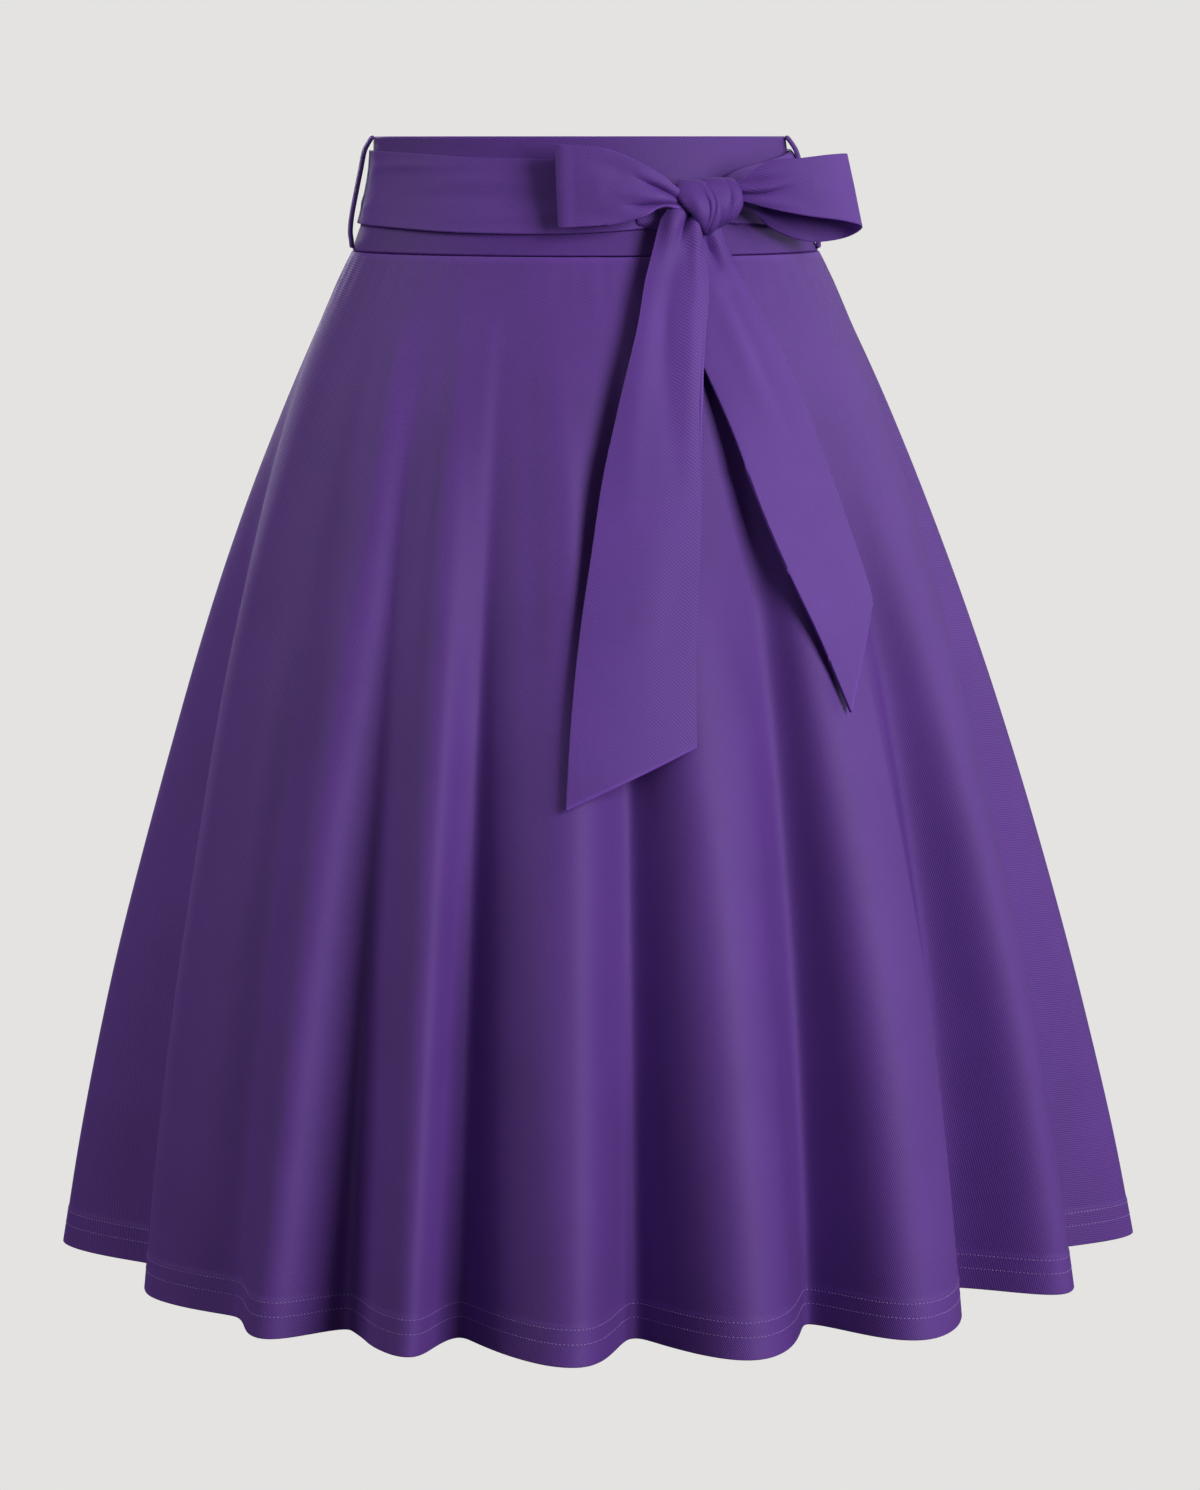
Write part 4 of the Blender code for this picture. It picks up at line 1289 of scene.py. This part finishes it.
def add_bow_loop(node, sections, turn_back, front, back):
    """A loop of the bow: a strip that leaves the knot, turns round and comes back to it."""
    wall = bpy.context.scene.skirt_sizes.sash_wall
    points = np.array([(s.x, s.y, -(s.top + s.low) / 2) for s in sections])
    steps = np.linalg.norm(np.diff(points, axis=0), axis=1)
    knots = np.concatenate([[0], np.cumsum(steps)])
    places = np.linspace(0, knots[-1], 190)
    x = smooth(knots, points[:, 0], places)
    y = smooth(knots, points[:, 1], places)
    top = smooth(knots, column(sections, "top"), places)
    low = smooth(knots, column(sections, "low"), places)
    slant = smooth(knots, column(sections, "slant"), places)
    shares = edge_dense(48)[:, None]
    z = -(top + (low - top) * shares)
    grid = np.stack([x + slant * shares, np.broadcast_to(y, z.shape), z], axis=-1)
    # How much a place belongs to the front layer: all of it before the turn, none after.
    in_front = 1 - ease(np.clip((places - knots[turn_back]) / 0.008 + 0.5, 0, 1))
    in_front = np.broadcast_to(in_front, z.shape)
    if sections[1].x < sections[0].x:
        grid = grid[:, ::-1]
        in_front = in_front[:, ::-1]
    normals = surface_normals(grid)
    across = grid[..., 0] * 1000
    down = -grid[..., 2] * 1000
    height = crease_height(front, across, down) * in_front
    # Seen from the front, the back layer's outer face looks away, so its creases turn round.
    height -= crease_height(back, across, down) * (1 - in_front)
    grid = grid + normals * height[..., None]
    grid = trim_border(grid, wall / 2, "tb")
    piece = cloth_shell(node + "_cloth", grid, wall, cloth_for("sash"))
    settle(piece, node)


class SKIRT_OT_bow_loops(bpy.types.Operator):
    """Build the two loops of the bow"""

    bl_idname = "skirt.add_bow_loops"
    bl_label = "Bow loops"

    def execute(self, context):
        add_bow_loop(
            "bow_loop_left", BOW_LEFT, 7, BOW_LEFT_FRONT, BOW_LEFT_BACK
        )
        add_bow_loop(
            "bow_loop_right", BOW_RIGHT, 5, BOW_RIGHT_FRONT, BOW_RIGHT_BACK
        )
        return {"FINISHED"}


def add_tail(node, sections, creases):
    """A hanging end of the sash, which lies in front of the skirt and ends in a slanted cut."""
    wall = bpy.context.scene.skirt_sizes.sash_wall
    rows = np.array(sections)
    middles = np.stack([(rows[:, 0] + rows[:, 2]) / 2, (rows[:, 1] + rows[:, 3]) / 2], axis=-1)
    knots = np.concatenate([[0], np.cumsum(np.linalg.norm(np.diff(middles, axis=0), axis=1))])
    places = knots[-1] * np.linspace(0, 1, 170) ** 1.25
    edges = smooth(knots, rows, places)
    shares = edge_dense(56)[None, :]

    def between(left, right):
        return edges[:, left, None] * (1 - shares) + edges[:, right, None] * shares

    x = between(0, 2)
    drop = between(1, 3)
    lift = between(4, 5) + TAIL_ARCH * (1 - (2 * shares - 1) ** 2)
    front = front_of_skirt(x, drop)
    # The skirt turns outwards at the waist seam, and the stiff doubled cloth bridges that bend.
    for _ in range(220):
        front[1:-1] = (front[:-2] + 2 * front[1:-1] + front[2:]) / 4
    y = -(front + lift)
    grid = np.stack([x, y, -drop], axis=-1)
    normals = surface_normals(grid)
    height = crease_height(creases, grid[..., 0] * 1000, -grid[..., 2] * 1000)
    grid = grid + normals * height[..., None]
    grid = trim_border(grid, wall / 2, "lrb")
    piece = cloth_shell(node + "_cloth", grid, wall, cloth_for("sash"))
    settle(
        piece,
        node,
    )


class SKIRT_OT_tails(bpy.types.Operator):
    """Build the sash's two hanging ends"""

    bl_idname = "skirt.add_tails"
    bl_label = "Hanging ends"

    def execute(self, context):
        add_tail("sash_tail_left", TAIL_LEFT, TAIL_LEFT_CREASES)
        add_tail("sash_tail_right", TAIL_RIGHT, TAIL_RIGHT_CREASES)
        return {"FINISHED"}


def knot_wrap(name, sections, creases, rows, columns):
    """One turn of cloth over the knot, from behind its top round the front and under."""
    wall = bpy.context.scene.skirt_sizes.sash_wall
    table = np.array(sections)
    middles = np.stack(
        [
            (table[:, 0] + table[:, 2]) / 2,
            (table[:, 4] + table[:, 5]) / 2,
            (table[:, 1] + table[:, 3]) / 2,
        ],
        axis=-1,
    )
    knots = np.concatenate([[0], np.cumsum(np.linalg.norm(np.diff(middles, axis=0), axis=1))])
    edges = smooth(knots, table, np.linspace(0, knots[-1], rows))
    shares = edge_dense(columns)[None, :]

    def between(left, right):
        return edges[:, left, None] * (1 - shares) + edges[:, right, None] * shares

    x = between(0, 2)
    drop = between(1, 3)
    out = between(4, 5)
    grid = np.stack([x, -out, -drop], axis=-1)
    arch = np.sqrt(np.clip(1 - (2 * shares - 1) ** 2, 0, 1)) * edges[:, 6, None]
    grid = grid + surface_normals(grid) * arch[..., None]
    height = crease_height(creases, grid[..., 0] * 1000, -grid[..., 2] * 1000)
    grid = grid + surface_normals(grid) * height[..., None]
    return cloth_shell(name, grid, wall, cloth_for("sash"))


class SKIRT_OT_knot(bpy.types.Operator):
    """Build the knot from its three wraps"""

    bl_idname = "skirt.add_knot"
    bl_label = "Knot"

    def execute(self, context):
        wraps = [
            knot_wrap("knot_front_wrap", KNOT_FRONT_WRAP, FRONT_WRAP_CREASES, 90, 44),
            knot_wrap("knot_right_wrap", KNOT_RIGHT_WRAP, RIGHT_WRAP_CREASES, 80, 40),
            knot_wrap("knot_under_wrap", KNOT_UNDER_WRAP, (), 30, 40),
        ]
        piece = join_pieces("bow_knot_cloth", wraps)
        settle(
            piece,
            "bow_knot",
        )
        return {"FINISHED"}


# ---- the studio -----------------------------------------------------------------------------

# Azimuth counts from the front to the right, elevation from level, in degrees.
StudioLight = namedtuple("StudioLight", "name azimuth elevation power")
STUDIO_LIGHTS = table(
    StudioLight,
    ("key_from_the_right", 44, 18, 74),
    ("right_side", 108, 22, 22),
    ("left_from_above", -88, 34, 30),
    ("left_low", -62, 15, 5),
    ("front_fill", -22, 12, 7),
    ("back_key", 196, 22, 48),
    ("back_fill", 156, 30, 10),
)
LIGHT_DISTANCE = 2.8
LIGHT_SIZE = (1.2, 1.4)
LIGHT_TARGET = (0.0, 0.0, -0.34)
AMBIENT_COLOUR = (0.85, 0.86, 1.0, 1.0)
AMBIENT_STRENGTH = 0.02
CAMERA_PLACE = (0.0086, -3.0, 0.0)
CAMERA_TILT = 6.886  # degrees below level
CAMERA_LENS = 121.84  # mm on a 36 mm wide sensor, for the picture's long side
FLOOR_DROP = 1.05
STUDIO_RADIUS = 8.0


class SKIRT_OT_studio(bpy.types.Operator):
    """Add the pale floor and background, the soft lights and the camera"""

    bl_idname = "skirt.add_studio"
    bl_label = "Studio"

    def execute(self, context):
        scene = context.scene
        colours = scene.skirt_colours
        # A round floor that curves up into a closed dome, so it looks the same from all sides.
        bend = np.radians(np.linspace(0, 90, 13))
        radii = np.concatenate([[0.02, 2.0, 4.0], 5.0 + 3.0 * np.sin(bend)])
        heights = np.concatenate([[0, 0, 0], 3.0 * (1 - np.cos(bend))])
        dome = np.radians(np.linspace(8, 89.8, 14))
        radii = np.concatenate([radii, STUDIO_RADIUS * np.cos(dome)])
        heights = np.concatenate([heights, 3.0 + STUDIO_RADIUS * np.sin(dome)])
        around = np.linspace(0, 2 * np.pi, 65)[:-1]
        x = radii[:, None] * np.cos(around)
        y = radii[:, None] * np.sin(around)
        z = np.broadcast_to(heights[:, None] - FLOOR_DROP, x.shape)
        count = len(around)
        faces = []
        for row in range(len(radii) - 1):
            for place in range(count):
                a = row * count + place
                b = row * count + (place + 1) % count
                faces.append((a, b, b + count, a + count))
        faces.append(tuple(range(count)))
        mesh = bpy.data.meshes.new("studio_floor")
        mesh.from_pydata(np.stack([x, y, z], axis=-1).reshape(-1, 3).tolist(), [], faces)
        mesh.shade_smooth()
        mesh.materials.append(shared(studio_paper, "studio_paper", tuple(colours.paper)))
        floor = bpy.data.objects.new("studio_floor", mesh)
        scene.collection.objects.link(floor)
        # The paper's own glow stays off the cloth, which the lamps alone light.
        floor.visible_diffuse = False
        floor.visible_glossy = False
        floor.visible_shadow = False
        world = bpy.data.worlds.new("studio_ambient")
        world.use_nodes = True
        ambient = world.node_tree.nodes["Background"]
        ambient.inputs["Color"].default_value = AMBIENT_COLOUR
        ambient.inputs["Strength"].default_value = AMBIENT_STRENGTH
        scene.world = world
        for lamp in STUDIO_LIGHTS:
            azimuth = np.radians(lamp.azimuth)
            elevation = np.radians(lamp.elevation)
            way = Vector(
                (
                    np.sin(azimuth) * np.cos(elevation),
                    -np.cos(azimuth) * np.cos(elevation),
                    np.sin(elevation),
                )
            )
            data = bpy.data.lights.new(lamp.name, "AREA")
            data.shape = "RECTANGLE"
            data.size, data.size_y = LIGHT_SIZE
            data.energy = lamp.power
            light = bpy.data.objects.new(lamp.name, data)
            light.location = Vector(LIGHT_TARGET) + way * LIGHT_DISTANCE
            light.rotation_euler = way.to_track_quat("Z", "Y").to_euler()
            light.visible_camera = False
            scene.collection.objects.link(light)
        camera_data = bpy.data.cameras.new("camera")
        camera_data.sensor_width = 36
        camera_data.lens = CAMERA_LENS
        camera_data.clip_start = 0.05
        camera_data.clip_end = 60
        camera = bpy.data.objects.new("camera", camera_data)
        camera.location = CAMERA_PLACE
        camera.rotation_euler = (np.radians(90 - CAMERA_TILT), 0, 0)
        scene.collection.objects.link(camera)
        scene.camera = camera
        scene.view_settings.view_transform = "Standard"
        return {"FINISHED"}


# ---- the panel and the run ------------------------------------------------------------------

PIECES = (
    "skirt.add_waistband",
    "skirt.add_panels",
    "skirt.add_belt_loops",
    "skirt.add_sash",
    "skirt.add_knot",
    "skirt.add_bow_loops",
    "skirt.add_tails",
    "skirt.add_studio",
)


class SKIRT_PT_panel(bpy.types.Panel):
    """Sizes, colours and the pieces in the order they are built"""

    bl_idname = "SKIRT_PT_panel"
    bl_label = "Fluted skirt"
    bl_space_type = "VIEW_3D"
    bl_region_type = "UI"
    bl_category = "Skirt"

    def draw(self, context):
        layout = self.layout
        for group in (context.scene.skirt_sizes, context.scene.skirt_colours):
            box = layout.box()
            for name in group.__annotations__:
                box.prop(group, name)
        for piece in PIECES:
            layout.operator(piece)


CLASSES = (
    SkirtSizes,
    SkirtColours,
    SKIRT_OT_panels,
    SKIRT_OT_waistband,
    SKIRT_OT_belt_loops,
    SKIRT_OT_sash,
    SKIRT_OT_knot,
    SKIRT_OT_bow_loops,
    SKIRT_OT_tails,
    SKIRT_OT_studio,
    SKIRT_PT_panel,
)


def register():
    for item in CLASSES:
        bpy.utils.register_class(item)
    bpy.types.Scene.skirt_sizes = PointerProperty(type=SkirtSizes)
    bpy.types.Scene.skirt_colours = PointerProperty(type=SkirtColours)


def unregister():
    del bpy.types.Scene.skirt_colours
    del bpy.types.Scene.skirt_sizes
    for item in reversed(CLASSES):
        bpy.utils.unregister_class(item)


def main():
    register()
    for piece in PIECES:
        group, name = piece.split(".")
        getattr(getattr(bpy.ops, group), name)()


if __name__ == "__main__":
    main()
